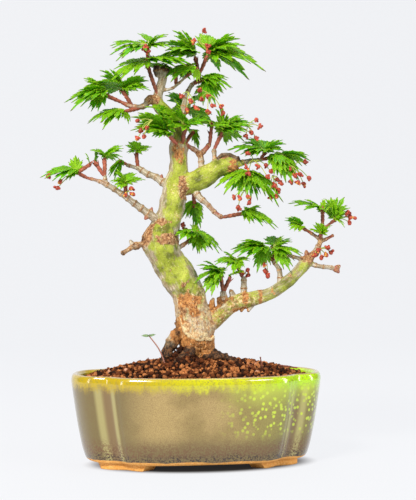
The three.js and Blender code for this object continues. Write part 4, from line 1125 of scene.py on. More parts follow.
    def zones(self, skin: Skin, names: list[str]) -> dict[str, Array]:
        """Mark where each colour of the bark shows.

        Args:
            skin: the skin.
            names: the limbs' names by number.

        Returns:
            One value from 0 to 1 per vertex for each zone.
        """
        vertices, normals, limb, masks = skin.vertices, skin.normals, skin.limb, skin.masks
        grain, radius = skin.grain, skin.radius
        blotch = rough(vertices, 11.0, 5)
        green = np.clip((radius - 3.1) / 1.5, 0, 1) * np.clip(0.92 + 0.9 * blotch, 0, 1)
        green *= np.clip(1.25 - 1.15 * np.abs(normals[:, 0]) ** 1.5, 0.2, 1)
        low = np.clip((140 - vertices[:, 2]) / 26, 0, 1)
        green *= 1 - 0.6 * low * (limb == names.index("trunk"))
        green *= np.where((limb == names.index("lower_right")), 0.7, 1.0)
        phase = (grain[:, 2] + limb * 1.7) % self.ring_gap - self.ring_gap / 2
        rings = np.where(radius < self.twig_radius, np.exp(-((phase / 0.8) ** 2)), 0.0)
        old = np.clip(0.25 + 0.6 * low + 0.6 * blotch, 0, 1) * np.clip((radius - 2) / 4, 0.5, 1)
        green *= 1 - np.clip((vertices[:, 2] - 284) / 8, 0, 1)
        reddish = ("end_twig_side", "end_twig_right", "end_twig_left", "end_twig_up", "upper_twig_left",
                   "upper_twig_right", "crown_left", "lower_left", "trunk_twig", "drooping")
        ends = {names.index(name): LIMBS[name] for name in reddish}
        red = np.zeros(len(vertices))
        for number, stations in ends.items():
            tip = np.array(stations[-1][:3])
            near = np.exp(-((np.linalg.norm(vertices - tip, axis=1) / 13) ** 2))
            red = np.maximum(red, near * (limb == number))
        red *= np.clip(0.9 + 1.2 * rough(vertices, 3.0, 15), 0, 1)
        spurs = np.isin(limb, [names.index(name) for name in SPURS if "bud" in name or "end" in name])
        stub = (limb == names.index("left_stub"))
        pale = (limb == names.index("callus")).astype(float)
        dark = np.maximum(masks[Feature.DARK], (limb == names.index("cut_rim")) * 0.75)
        return {
            "green": green, "red": np.maximum(red, spurs * 0.8),
            "scar": np.max([masks[Feature.SCAR], stub * 0.6, rings * 0.85], axis=0),
            "old": old,
            "cork": masks[Feature.CORK], "dark": dark,
            "pale": np.clip(pale + masks[Feature.PALE], 0, 1), "pit": self.cracks(grain),
        }


# ---- leaves, sheaths and flowers


@dataclass(frozen=True)
class BladeShape:
    """A blade cut into lobes: their directions in degrees, their lengths, and the margin's teeth."""

    turns: tuple[float, ...] = (-96.0, -58.0, -27.0, 0.0, 27.0, 58.0, 96.0)
    lengths: tuple[float, ...] = (0.5, 0.74, 0.92, 1.0, 0.92, 0.74, 0.5)
    half_width: float = 0.265   # widest half of a lobe, per lobe length
    teeth: int = 6
    tooth_depth: float = 0.46
    fold: float = 0.4           # rise of a lobe's edges, per half width
    corrugation: float = 0.45   # rise of the side veins, per half width
    thickness: float = 0.18
    columns: int = 5
    curl: float = 0.1          # drop of a lobe's tip, per length

    def lobes(self, reach: float, spread: float, jitter: Array) -> tuple[Array, Array, Array]:
        """Shape every lobe in the blade's own plane.

        With t along a lobe and v across it: the half width is 3.33·w·t^0.7·(1-t)^1.1, but at most
        t·tan(half the gap) beside a neighbour. A tooth widens a free margin towards the tip and drops
        back. The edges rise by fold·|v| and the side veins by a cosine that runs forward with |v|.

        Args:
            reach: the middle lobe's length.
            spread: factor on the lobes' directions.
            jitter: one random value from -1 to 1 per lobe.

        Returns:
            Points (along, aside, up) and the marks across and along, by lobe, row and column.
        """
        angle = np.radians(np.array(self.turns)) * spread + 0.05 * jitter
        length = np.array(self.lengths) * reach * (1 + 0.09 * jitter)
        steps = np.array([0.02, 0.36, 0.7, 0.97])
        t = ((np.arange(self.teeth)[:, None] + steps[None]) / self.teeth).ravel()
        phase = (t * self.teeth) % 1
        v = np.linspace(-1, 1, self.columns)
        lance = 3.33 * self.half_width * t**0.7 * (1 - t) ** 1.1
        outer = np.full(1, math.pi / 2.5)
        gaps = np.concatenate([outer, np.diff(angle) / 2, outer])
        limit = t[None, None] * np.tan(np.stack([gaps[:-1], gaps[1:]]))[..., None]
        free = np.clip((limit - lance) / 0.03, 0, 1) * np.clip(t / 0.12, 0, 1)
        wide = np.minimum(lance, limit) * (1 - self.tooth_depth * free * (1 - phase)) + 0.006
        left = (v < 0)[None, None]
        wide = np.where(left, wide[0][..., None], wide[1][..., None])
        free = np.where(left, free[0][..., None], free[1][..., None])
        size = length[:, None, None]
        s = (t[None, :, None] + 0.6 * free * phase[None, :, None] / self.teeth * (v**2)[None, None]) * size
        across = wide * v[None, None] * size
        rise = np.abs(across) * self.fold
        wave = np.cos(2 * math.pi * (phase[None, :, None] - 0.6 * np.abs(v)[None, None]))
        rise = rise + self.corrugation * wide * size * wave * (np.abs(v) * (1.2 - np.abs(v)))[None, None]
        rise = rise - self.curl * (1 + 0.9 * jitter)[:, None, None] * size * (t**2)[None, :, None]
        cosine, sine = np.cos(angle)[:, None, None], np.sin(angle)[:, None, None]
        points = np.stack([s * cosine - across * sine, s * sine + across * cosine, rise], axis=-1)
        beside = np.broadcast_to(np.abs(v)[None, None], across.shape)
        return points, beside, np.broadcast_to(t[None, :, None], across.shape)

    @staticmethod
    def placed(local: Array, foot: Array, along: Array, up: Array) -> Array:
        """Turn points (along, aside, up) into places: foot + along·x + (up × along)·y + up·z."""
        return foot + local[..., :1] * along + local[..., 1:2] * np.cross(up, along) + local[..., 2:] * up

    def shell(self, surface: Surface, points: Array, up: Array, across: Array, along: Array, tone: float,
              zone: int) -> None:
        """Close each lobe into a thin body: P ± up·thickness/2·(1 - 0.7|v|⁴).

        Args:
            surface: receives the lobes.
            points: places by lobe, row and column.
            up: the upper face's direction.
            across: 0 at the midrib and 1 at the margin.
            along: 0 at the base and 1 at the tip.
            tone: how bright the blade is.
            zone: the material.
        """
        half = (self.thickness / 2) * (1 - 0.7 * across**4)[..., None] * up
        ring = np.concatenate([points + half, (points - half)[:, :, ::-1]], axis=2)
        marks = [np.concatenate([mark, mark[:, :, ::-1]], axis=2).reshape(-1) for mark in (across, along)]
        lobes, rows, columns = ring.shape[:3]
        starts = (np.arange(lobes) * rows * columns)[:, None]
        sides = (grid_faces(rows, columns, True, True)[None] + starts[:, None]).reshape(-1, 4)
        first = np.arange(columns)[None] + starts
        last = (np.arange(columns) + (rows - 1) * columns)[None, ::-1] + starts
        faces = [sides, first, last]
        surface.add(ring.reshape(-1, 3), faces, zone, across=marks[0], along=marks[1], tone=tone)


LEAF_SHAPE = BladeShape()
SCALE_SHAPE = BladeShape((0.0,), (1.0,), 0.27, 4, 0.0, 0.55, 0.0, 0.35, 5, -0.25)
SEED_LEAF_SHAPE = BladeShape((0.0,), (1.0,), 0.24, 4, 0.0, 0.2, 0.0, 0.4, 5, 0.1)


@dataclass
class Shoot:
    """A shoot: red bud sheaths, petioles and blades, as one piece."""

    node: str
    sprigs: tuple[Sprig, ...]
    seed: int
    sag: float = 0.24
    tilt: float = 0.28
    sheath_radius: float = 1.5
    petiole_radius: float = 0.5
    paired: float = 12.0       # leaves longer than this have a smaller one beside them
    surface: Surface = field(default_factory=Surface)
    random: np.random.Generator = field(init=False)

    def __post_init__(self) -> None:
        """Start this shoot's own draws."""
        self.random = np.random.default_rng(self.seed)

    def blade(self, neck: Array, leaf: Station) -> None:
        """Hang one leaf between its neck and its tip.

        The blade's plane holds the line to the tip and leans to its nearer side; every point then drops by
        sag·length·(u² + 0.35·v²) / reach².

        Args:
            neck: where the petiole starts.
            leaf: the tip and the blade's length.
        """
        draw = self.random.uniform
        tip, length = np.array(leaf[:3]), leaf[3]
        away = np.linalg.norm(tip - neck)
        size = min(length, away * 0.92) * 1.04
        base = tip + (neck - tip) * (size / away) + UP * self.sag * size * 0.5
        along = tip + UP * self.sag * size - base
        reach = np.linalg.norm(along)
        along = along / reach
        nearer = -1.0 if tip[1] <= neck[1] else 1.0
        roll = draw(-0.35, 0.35)
        up = np.array([roll, nearer * self.tilt * draw(0.5, 1.5), 1.0])
        up = unit(up - along * up.dot(along))
        spread = draw(0.56, 0.9)
        local, across, marks = LEAF_SHAPE.lobes(reach, spread, draw(-1, 1, 7))
        drop = self.sag * size * (local[..., 0] ** 2 + 0.35 * local[..., 1] ** 2) / reach**2
        places = BladeShape.placed(local, base, along, up) - drop[..., None] * UP
        tone = draw(0.0, 0.45) if size > 13 else draw(0.3, 0.75)
        LEAF_SHAPE.shell(self.surface, places, up, across, marks, tone, 0)
        middle = (neck + base) / 2 + UP * 0.06 * away
        route = ((*neck, self.petiole_radius * 1.25), (*middle, self.petiole_radius),
                 (*base, self.petiole_radius * 0.95), (*(base + along * reach * 0.12), 0.25))
        vertices, faces, row = tube(Path3.through(route, 1.2), 8)
        self.surface.add(vertices, faces, 1, across=0.5, along=row[:, 1] / max(row[-1, 1], 1.0) * 0.9,
                    tone=draw(0, 0.8))

    def companion(self, neck: Array, leaf: Station) -> Station:
        """Turn a leaf about its neck to make the smaller leaf that grows beside it.

        Args:
            neck: where the petiole starts.
            leaf: the tip and the blade's length.

        Returns:
            The smaller leaf.
        """
        draw = self.random.uniform
        reach = np.array(leaf[:3]) - neck
        length = np.linalg.norm(reach)
        way = unit(reach / length + draw(-0.42, 0.42, 3) * np.array([1.0, 1.3, 0.7]))
        tip = neck + way * length * draw(0.68, 0.86)
        return (*tip, leaf[3] * draw(0.7, 0.85))

    def sheath(self, base: Array, neck: Array) -> None:
        """Wrap the sprig's stem in overlapping bud scales that open at the neck.

        Args:
            base: the stem's foot.
            neck: where the leaves part.
        """
        draw = self.random.uniform
        long = np.linalg.norm(neck - base)
        axis = (neck - base) / long
        radius = self.sheath_radius * min(1.0, 0.62 + long / 26)
        bulge = (neck + base) / 2 + np.cross(axis, UP) * draw(-0.6, 0.6)
        path = Path3.through(((*base, radius * 0.78), (*bulge, radius * 1.06), (*neck, radius * 0.8)), 0.6)
        angle = np.arange(16) * 2 * math.pi / 16
        turn = path.along[:, None] / 3.4 + angle[None] / math.pi
        steps = 1 + 0.3 * ((turn % 1.0) - 0.5) + 0.04 * np.cos(3 * angle)[None]
        vertices, faces, row = tube(path, 16, steps)
        tone = draw(0, 1)
        self.surface.add(vertices, faces, 2, across=0.5, along=row[:, 1] / row[-1, 1] * 0.9, tone=tone * 0.6)
        count = self.random.integers(4, 7)
        for index in range(count):
            around = 2 * math.pi * (index + draw(-0.2, 0.2)) / count
            out = path.normal[-1] * math.cos(around) + path.binormal[-1] * math.sin(around)
            share = draw(0.45, 0.86)
            foot = base + axis * long * share + out * radius * 0.55
            lean = draw(0.12, 0.62)
            along = unit(axis + out * lean)
            up = unit(-out + along * out.dot(along))
            size = draw(3.6, 6.4) * (radius / self.sheath_radius)
            local, across, marks = SCALE_SHAPE.lobes(size, 1.0, draw(-1, 1, 1))
            places = BladeShape.placed(local, foot, along, up)
            SCALE_SHAPE.shell(self.surface, places, up, across, marks, draw(0, 0.8), 2)

    def build(self, materials: list[Material]) -> Object:
        """Build every sprig and stand in for the CAD node.

        Args:
            materials: blade, petiole and scale.

        Returns:
            The finished piece.
        """
        for base, neck, leaves in self.sprigs:
            start, end = np.array(base, float), np.array(neck, float)
            self.sheath(start, end)
            for leaf in leaves:
                self.blade(end, leaf)
                if leaf[3] > self.paired:
                    self.blade(end, self.companion(end, leaf))
        piece = self.surface.build(self.node + "_shoot", materials)
        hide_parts(self.node)
        return piece


@dataclass
class FlowerCluster:
    """Red flower buds on thin stalks."""

    node: str
    base: Point
    buds: tuple[Point, ...]
    seed: int
    bud_radius: float = 1.6
    small_share: float = 0.66
    stalk_radius: float = 0.34

    def bud(self, surface: Surface, centre: Array, axis: Array, radius: float, tone: float) -> None:
        """Shape a bud: r = R(1 + 0.14·cos 5φ·sin θ), drawn out a little along its axis.

        Args:
            surface: receives the bud.
            centre: its middle.
            axis: from the stalk to the tip.
            radius: its half width.
            tone: how bright it is.
        """
        share = np.linspace(0.06, 0.94, 9)
        theta = share * math.pi
        stations = tuple((*(centre - axis * radius * 1.25 * math.cos(angle)), radius * math.sin(angle))
                         for angle in theta)
        path = Path3.through(stations, 50.0)
        around = np.arange(10) * 2 * math.pi / 10
        swell = np.sin(np.linspace(0, math.pi, len(path.points)))[:, None]
        wave = 1 + 0.14 * np.cos(5 * around)[None] * swell
        vertices, faces, marks = tube(path, 10, wave)
        along = marks[:, 1] / marks[-1, 1]
        opened = 0.92 + 0.08 * along if tone > 0.78 else along * 0.9
        surface.add(vertices, faces, 0, across=np.abs(np.sin(marks[:, 0] * 5 * math.pi)) * 0.8,
                    along=np.where(along > 0.7, opened, along * 0.8), tone=tone * 0.7)

    def build(self, materials: list[Material]) -> Object:
        """Build the stalks and buds and stand in for the CAD node.

        Args:
            materials: flower and stalk.

        Returns:
            The finished piece.
        """
        random = np.random.default_rng(self.seed)
        surface = Surface()
        base = np.array(self.base, float)
        for place in self.buds:
            centre = np.array(place, float)
            reach = centre - base
            bend = (base + centre) / 2 + UP * 0.14 * np.linalg.norm(reach) + random.uniform(-0.6, 0.6, 3)
            thin = self.stalk_radius
            route = ((*base, thin * 1.3), (*bend, thin), (*centre, thin))
            path = Path3.through(route, 1.0)
            surface.add(*tube(path, 6)[:2], 1, across=0.4, along=0.5, tone=random.uniform(0, 0.9))
            axis = path.tangent[-1]
            radius = self.bud_radius * random.uniform(0.85, 1.08)
            self.bud(surface, centre, axis, radius, random.uniform(0, 1))
            for _ in range(random.integers(2, 5)):
                off = random.normal(0, 1, 3)
                off = unit(off) * self.bud_radius * random.uniform(1.0, 1.5)
                self.bud(surface, centre + off, unit(off + axis), self.bud_radius * self.small_share
                         * random.uniform(0.7, 1.1), random.uniform(0, 1))
        piece = surface.build(self.node + "_cluster", materials)
        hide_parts(self.node)
        return piece


# ---- the pot and what lies in it


@dataclass
class Pot:
    """A four-lobed pot on corner feet, with drain holes."""

    sides: int = 400
    end_lobe: Station = (56.0, 0.0, 44.0, 44.0)      # centre x, y and half sizes
    broad_lobe: Station = (0.0, 31.0, 76.0, 27.0)
    reach: tuple[float, float] = (100.0, 58.0)
    groove_depth: float = 6.2
    groove_width: float = 0.12        # in radians of the outline's own angle
    groove_turn: float = 0.66         # the grooves' place, in the same radians
    outer: Profile = ((15.0, 0.4), (13.0, 0.9), (11.2, 2.6), (9.9, 6.0), (8.0, 13.0), (5.0, 28.0),
                      (2.0, 47.0), (0.2, 60.0), (0.0, 63.5), (0.7, 66.4), (2.2, 67.9))
    inner: Profile = ((3.6, 67.9), (5.0, 66.6), (6.4, 62.0), (11.4, 28.0), (15.0, 11.0), (19.0, 6.4))
    table: float = -DATUM
    base: float = 0.4
    floor: float = 6.4
    drain_x: float = 42.0
    drain_radius: float = 7.0
    drain_cut: tuple[float, float] = (-3, 9)      # from below the base to above the floor
    foot_from: float = 40.0
    foot_to: float = 78.0
    foot_slant: float = 3.0
    foot_insets: tuple[float, float] = (17.0, 29.0)
    waver: float = 0.12               # how far the wall wanders from true

    def lobe(self, centre_x: float, centre_y: float, half_x: float, half_y: float, ray: Array) -> Array:
        """Find where rays from the axis leave one elliptical lobe.

        The larger root of |(k·ray - centre) / half|² = 1.

        Args:
            centre_x: the lobe's centre.
            centre_y: the lobe's centre.
            half_x: half its length.
            half_y: half its depth.
            ray: unit directions.

        Returns:
            Distances, 0 where a ray misses.
        """
        half, centre = np.array([half_x, half_y]), np.array([centre_x, centre_y])
        a = ((ray / half) ** 2).sum(1)
        b = -2 * (ray * centre / half**2).sum(1)
        c = ((centre / half) ** 2).sum() - 1
        root = b * b - 4 * a * c
        return np.where(root < 0, 0.0, (np.sqrt(np.maximum(root, 0)) - b) / (2 * a))

    def outline(self, turn: Array) -> tuple[Array, Array]:
        """Give the outline's directions and distances at shares of the way round.

        Args:
            turn: shares from 0 to 1.

        Returns:
            Unit directions and distances: the farthest lobe, less the grooves.
        """
        angle = turn * 2 * math.pi
        ray = unit(np.stack([self.reach[0] * np.cos(angle), self.reach[1] * np.sin(angle)], axis=1))
        x, y, a, b = self.end_lobe
        u, w, c, d = self.broad_lobe
        far = np.max([self.lobe(x, y, a, b, ray), self.lobe(-x, y, a, b, ray), self.lobe(u, w, c, d, ray),
                      self.lobe(u, -w, c, d, ray)], axis=0)
        return ray, far - self.groove_depth * self.groove(turn)

    def groove(self, turn: Array) -> Array:
        """Depth of the grooves at shares of the way round: 1 in the middle of each, 0 away from it."""
        angle = turn * 2 * math.pi
        beside = np.arctan2(np.abs(np.sin(angle)), np.abs(np.cos(angle))) - self.groove_turn
        return np.exp(-((beside / self.groove_width) ** 2))

    def rings(self, insets: Array, heights: Array, turn: Array) -> Array:
        """Place one ring per inset and height.

        Args:
            insets: distance inside the outline.
            heights: height above the table.
            turn: shares of the way round.

        Returns:
            Points by ring and share.
        """
        ray, far = self.outline(turn)
        distance = far[None] - insets[:, None]
        flat = ray[None] * distance[..., None]
        return np.concatenate([flat, np.broadcast_to(heights[:, None, None], (*distance.shape, 1))], axis=2)

    def inner_inset(self, height: Array) -> Array:
        """Inset of the inner wall at a height."""
        rows = np.array(self.inner)[::-1]
        return np.interp(height, rows[:, 1], rows[:, 0])

    def foot(self, surface: Surface, side: float) -> None:
        """Add the foot that follows one end of the pot, with slanting ends.

        Args:
            surface: receives the foot.
            side: 1 for the +X end, -1 for the other.
        """
        turn = np.linspace(-0.24, 0.24, 241)
        outer_inset, inner_inset = self.foot_insets
        middle = self.rings(np.array([(outer_inset + inner_inset) / 2]), np.array([0.0]), turn)[0, :, 0]
        tall = self.base - self.table
        levels = np.array([0.0, 0.5, tall * 0.6, tall + 0.8])
        section = []
        for inset, order in ((outer_inset, 1), (inner_inset, -1)):
            for level in levels[::order]:
                chamfer = 0.5 if level == 0 else 0.0
                start = self.foot_from + self.foot_slant * (1 - level / tall) + chamfer
                half = turn >= 0
                end = np.interp(-start, -middle[half], turn[half])
                share = np.linspace(-end, end, 121)
                place = np.array([inset + chamfer * order]), np.array([level + self.table])
                row = self.rings(*place, share)[0]
                row[:, 0] = np.minimum(row[:, 0], self.foot_to)
                section.append(row)
        grid = np.stack(section, axis=1)
        grid[..., 0] *= side
        count = len(section)
        last = (len(grid) - 1) * count
        turned = side < 0
        cap = np.arange(count)[None]
        faces = [grid_faces(len(grid), count, True, not turned),
                 cap if not turned else cap[:, ::-1], (cap[:, ::-1] if not turned else cap) + last]
        surface.add(grid.reshape(-1, 3), faces)

    def build(self, material: Material) -> Object:
        """Turn the wall about the four-lobed outline, cut the drain holes and add the feet.

        Args:
            material: the glaze over clay.

        Returns:
            The finished piece.
        """
        stations = tuple((inset, 0.0, height, 1.0) for inset, height in (*self.outer, *self.inner))
        profile = Path3.through(stations, 1.3).points
        turn = np.arange(self.sides) / self.sides
        wall = self.rings(profile[:, 0], profile[:, 2], turn)
        shares = np.array([0.35, 0.7])
        under = np.concatenate([wall[0][None] * np.array([s, s, 1.0]) for s in shares])
        over = np.concatenate([wall[-1][None] * np.array([s, s, 1.0]) for s in shares[::-1]])
        grid = np.concatenate([under.reshape(len(shares), -1, 3), wall, over.reshape(len(shares), -1, 3)])
        grid[..., 1] += self.waver * rough(grid.reshape(-1, 3), 26.0, 3).reshape(grid.shape[:2])
        poles = np.array([[0, 0, self.base], [0, 0, self.floor]])
        surface = Surface()
        surface.add(np.vstack([grid.reshape(-1, 3), poles]), closed_faces(len(grid), self.sides),
                    groove=np.append(np.tile(self.groove(turn), len(grid)), [0, 0]))
        body = surface.build("pot_body", [material])
        for side in (1, -1):
            route = tuple((side * self.drain_x, 0, level, self.drain_radius) for level in self.drain_cut)
            cutter_surface = Surface()
            cutter_surface.add(*tube(Path3.through(route, 5.0), 48)[:2])
            cutter = cutter_surface.build("drain_cutter", [])
            cut = body.modifiers.new("drain", "BOOLEAN")
            cut.operation = "DIFFERENCE"
            cut.object = cutter
            evaluated = body.evaluated_get(bpy.context.evaluated_depsgraph_get())
            mesh = bpy.data.meshes.new_from_object(evaluated)
            body.modifiers.clear()
            body.data = mesh
            bpy.data.objects.remove(cutter)
        feet = Surface()
        self.foot(feet, 1.0)
        self.foot(feet, -1.0)
        ring = feet.build("pot_feet", [material], smooth=False)
        with bpy.context.temp_override(active_object=body, selected_editable_objects=[body, ring]):
            bpy.ops.object.join()
        body.name = "glazed_pot"
        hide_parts("pot")
        return body


@dataclass
class Soil:
    """A mound of fired clay grains."""

    pot: Pot
    grains: int = 3400
    spacing: float = 2.55
    smallest: float = 1.3
    largest: float = 2.4
    edge: float = 65.0
    mound: Profile = ((0.0, 79.0), (0.24, 79.0), (0.5, 75.0), (0.8, 69.0), (1.0, 65.4))
    heap: Station = (-14.0, -7.0, 9.0, 8.5)   # centre x, y, reach and height
    sides: int = 160           # of the bed
    edge_drop: float = 3.4     # how far the soil lies below the mound beside the wall
    waves: float = 0.8         # height of the mound's unevenness
    seed: int = 404

    def height(self, flat: Array) -> Array:
        """Height of the mound: its stations by share of the way to the wall, plus low noise."""
        _, share = self.shares(flat)
        rows = np.array(self.mound)
        level = np.interp(share, rows[:, 0], rows[:, 1])
        from_heap = (flat - np.array(self.heap[:2])) / self.heap[2]
        level = level + self.heap[3] * np.exp(-(from_heap**2).sum(1))
        sunk = 0.9 + self.edge_drop * np.clip((share - 0.7) / 0.3, 0, 1) ** 1.6
        waves = self.waves * rough(np.column_stack([flat, np.zeros(len(flat))]), 13.0, 8) * (share < 0.93)
        return level - sunk + waves

    def shares(self, flat: Array) -> tuple[Array, Array]:
        """Give each place's turn and its share of the way to the inner wall.

        Args:
            flat: x and y rows.

        Returns:
            Turns and shares.
        """
        turn = np.arctan2(flat[:, 1] / self.pot.reach[1], flat[:, 0] / self.pot.reach[0]) / (2 * math.pi)
        _, far = self.pot.outline(turn)
        wall = far - self.pot.inner_inset(np.full(len(flat), self.edge)) - 0.5
        return turn, np.linalg.norm(flat, axis=1) / wall

    def build(self, material: Material) -> Object:
        """Lay a dark bed, as painted shade between the grains, then scatter grains of a few dozen faces on
        it in two layers.

        Args:
            material: the grains' clay.

        Returns:
            The finished piece.
        """
        random = np.random.default_rng(self.seed)
        turn = np.arange(self.sides) / self.sides
        ray, far = self.pot.outline(turn)
        levels = np.array([16.4, 40.0, 60.0])
        walls = [ray * (far - self.pot.inner_inset(np.array([z])) - 0.4)[:, None] for z in levels]
        rings = [np.column_stack([wall, np.full(self.sides, z)]) for wall, z in zip(walls, levels)]
        wall = ray * (far - self.pot.inner_inset(np.array([self.edge])) - 0.5)[:, None]
        for share in (0.99, 0.9, 0.78, 0.64, 0.5, 0.36, 0.22, 0.1):
            flat = wall * share
            rings.append(np.column_stack([flat, self.height(flat) - 1.2]))
        grid = np.stack(rings)
        poles = np.array([[0, 0, levels[0]], [0, 0, rings[-1][:, 2].mean()]])
        surface = Surface()
        bed = np.vstack([grid.reshape(-1, 3), poles])
        # the bed takes the darkest tone: painted shade in the gaps between the grains
        surface.add(bed, closed_faces(len(grid), self.sides), 0, tone=0.1)
        places = self.scatter(random)
        cube = np.array(list(np.ndindex(3, 3, 3)), float) - 1
        cube = cube[np.abs(cube).max(axis=1) == 1]
        lump = unit(cube) * np.where(np.abs(cube).sum(1) == 3, 0.92, 1.0)[:, None]
        faces = self.cube_faces(cube)
        number = len(places)
        clod = np.exp(-(((places[:, :2] - np.array(self.heap[:2])) / (1.3 * self.heap[2])) ** 2).sum(1))
        size = random.uniform(self.smallest, self.largest, number) * random.uniform(0.62, 1.12, number)
        size = size * (1 + 0.5 * clod)
        shape = 1 + random.uniform(-0.3, 0.24, (number, len(lump), 1))
        squeeze = random.uniform(0.72, 1.12, (number, 1, 3))
        local = lump[None] * shape * squeeze * size[:, None, None]
        axis = unit(random.normal(0, 1, (number, 3)))
        angle = random.uniform(0, math.pi, number)
        local = self.turned(local, axis, angle)
        vertices = (local + places[:, None]).reshape(-1, 3)
        every = (faces[None] + (np.arange(number) * len(lump))[:, None, None]).reshape(-1, 4)
        tone = np.repeat(random.uniform(0, 1, number) * (1 - 0.75 * clod), len(lump))
        surface.add(vertices, [every], 0, tone=tone)
        piece = surface.build("soil_grains", [material])
        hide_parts("soil")
        return piece

    def scatter(self, random: np.random.Generator) -> Array:
        """Jitter a triangular grid inside the wall and lift it onto the mound, in two layers.

        Args:
            random: this piece's draws.

        Returns:
            Grain centres.
        """
        step = self.spacing
        column, row = np.meshgrid(np.arange(-42, 43), np.arange(-26, 27))
        flat = np.stack([(column + 0.5 * (row % 2)) * step, row * step * 0.87], axis=-1).reshape(-1, 2)
        flat = np.vstack([flat, flat + [step * 0.5, step * 0.3]])[: self.grains * 4]
        layer = np.repeat([0.0, 1.0], len(flat) // 2)
        flat = flat + random.uniform(-0.42, 0.42, flat.shape) * step
        _, share = self.shares(flat)
        keep = (share < 0.975) & ((layer == 0) | (random.uniform(0, 1, len(flat)) < 0.5))
        flat, layer = flat[keep], layer[keep]
        order = random.permutation(len(flat))[: self.grains]
        flat, layer = flat[order], layer[order]
        height = self.height(flat) - 0.6 + layer * 1.5 + random.uniform(-0.5, 0.5, len(flat))
        return np.column_stack([flat, height])

    @staticmethod
    def cube_faces(cube: Array) -> Array:
        """Number the 24 outward faces of a cube whose every side is a 2 by 2 grid.

        Args:
            cube: its 26 surface points.

        Returns:
            One row of four vertex numbers per face.
        """
        index = {tuple(point): number for number, point in enumerate(cube)}
        faces = []
        for axis, sign, b, a in product(range(3), (-1, 1), (-1, 0), (-1, 0)):
            square = ((a, b), (a + 1, b), (a + 1, b + 1), (a, b + 1))
            corners = [index[tuple(np.roll((sign, *place), axis).astype(float))] for place in square]
            faces.append(corners if sign > 0 else corners[::-1])
        return np.array(faces)

    @staticmethod
    def turned(local: Array, axis: Array, angle: Array) -> Array:
        """Turn each lump about its own axis: v cos a + (k × v) sin a + k (k·v)(1 - cos a).

        Args:
            local: points by lump.
            axis: unit axes.
            angle: angles in radians.

        Returns:
            The turned points.
        """
        k = axis[:, None]
        cosine, sine = np.cos(angle)[:, None, None], np.sin(angle)[:, None, None]
        lengthwise = (k * local).sum(-1, keepdims=True)
        return local * cosine + np.cross(k, local) * sine + k * lengthwise * (1 - cosine)


@dataclass
class DrainScreen:
    """A square of plastic net over a drain hole."""

    node: str
    length: float = 34.0
    width: float = 26.0
    gap: float = 2.2
    strand: float = 0.42
    height: float = 11.8

    def build(self, material: Material, centre: Vector) -> Object:
        """Cross two rows of strands.

        Args:
            material: the net's plastic.
            centre: the CAD plate's middle, in metres.

        Returns:
            The finished piece.
        """
        surface = Surface()
        x, y, z = (np.array(centre) - np.array(ORIGIN)) / MM
        for along, across, level in ((self.length, self.width, 0.18), (self.width, self.length, -0.18)):
            lengthwise = along == self.length
            for offset in np.arange(-across / 2 + 0.5, across / 2, self.gap):
                ends = [(-along / 2, offset), (along / 2, offset)]
                points = [(x + a, y + b) if lengthwise else (x + b, y + a) for a, b in ends]
                route = tuple((*point, z + level, self.strand) for point in points)
                surface.add(*tube(Path3.through(route, along), 6)[:2])
        piece = surface.build(self.node + "_net", [material])
        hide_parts(self.node)
        return piece


@dataclass
class Seedling:
    """A weed seedling: a thin leaning stem with two seed leaves and two smaller ones."""

    foot: Point = (-27.0, -14.0, 74.0)
    head: Point = (-40.0, -15.0, 97.6)
    radius: float = 0.55
    facing: Point = (0.0, -1.0, 1.0)    # where the leaves' faces turn

    def build(self, materials: list[Material]) -> Object:
        """Sweep the stem and set the leaves on its head.

        Args:
            materials: stem and leaf.

        Returns:
            The finished piece.
        """
        foot, head = np.array(self.foot), np.array(self.head)
        middle = (foot + head) / 2 + np.array([1.4, 0, 1.0])
        surface = Surface()
        route = ((*foot, self.radius * 1.15), (*middle, self.radius), (*head, self.radius * 0.85))
        surface.add(*tube(Path3.through(route, 0.8), 10)[:2])
        for x, y, z, length in ((-1.0, 0.1, 0.12, 5.6), (1.0, -0.2, 0.35, 4.6), (-0.5, -1.0, 0.5, 3.0),
                                (0.3, 1.0, 0.5, 3.2)):
            along = unit(np.array([x, y, z]))
            up = unit(self.facing - along * along.dot(self.facing))
            local, across, marks = SEED_LEAF_SHAPE.lobes(length, 1.0, np.zeros(1))
            places = BladeShape.placed(local, head, along, up)
            SEED_LEAF_SHAPE.shell(surface, places, up, across, marks, 0.4, 1)
        piece = surface.build("weed_seedling", materials)
        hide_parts("seedling")
        return piece


@dataclass
class DryTwigs:
    """A fallen maple twig and three hair-thin ones that stand in the soil."""

    routes: tuple[tuple[Station, ...], ...] = (
        ((62, -22, 74.0, 0.62), (67, -23, 73.4, 0.8), (76, -25, 72, 0.6)),
        ((49, -20, 72, 0.45), (48.2, -20, 76, 0.5), (47.4, -20, 80.6, 0.55)),
        ((36, -26, 73, 0.25), (39, -27, 75.4, 0.25), (43, -28, 78, 0.2)),
        ((-37, -14, 76, 0.25), (-39.6, -14, 78.6, 0.25), (-41, -14, 81, 0.2)),
    )

    def build(self, material: Material) -> Object:
        """Sweep each twig with a lumpy radius.

        Args:
            material: dry twig.

        Returns:
            The finished piece.
        """
        surface = Surface()
        for index, route in enumerate(self.routes):
            path = Path3.through(route, 0.5)
            lumps = 1 + 0.25 * noise(path.points, 1.6, index)[:, None] * np.ones((1, 10))
            surface.add(*tube(path, 10, lumps)[:2])
        piece = surface.build("dry_twigs", [material])
        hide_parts("fallen_twig")
        return piece


# ---- studio


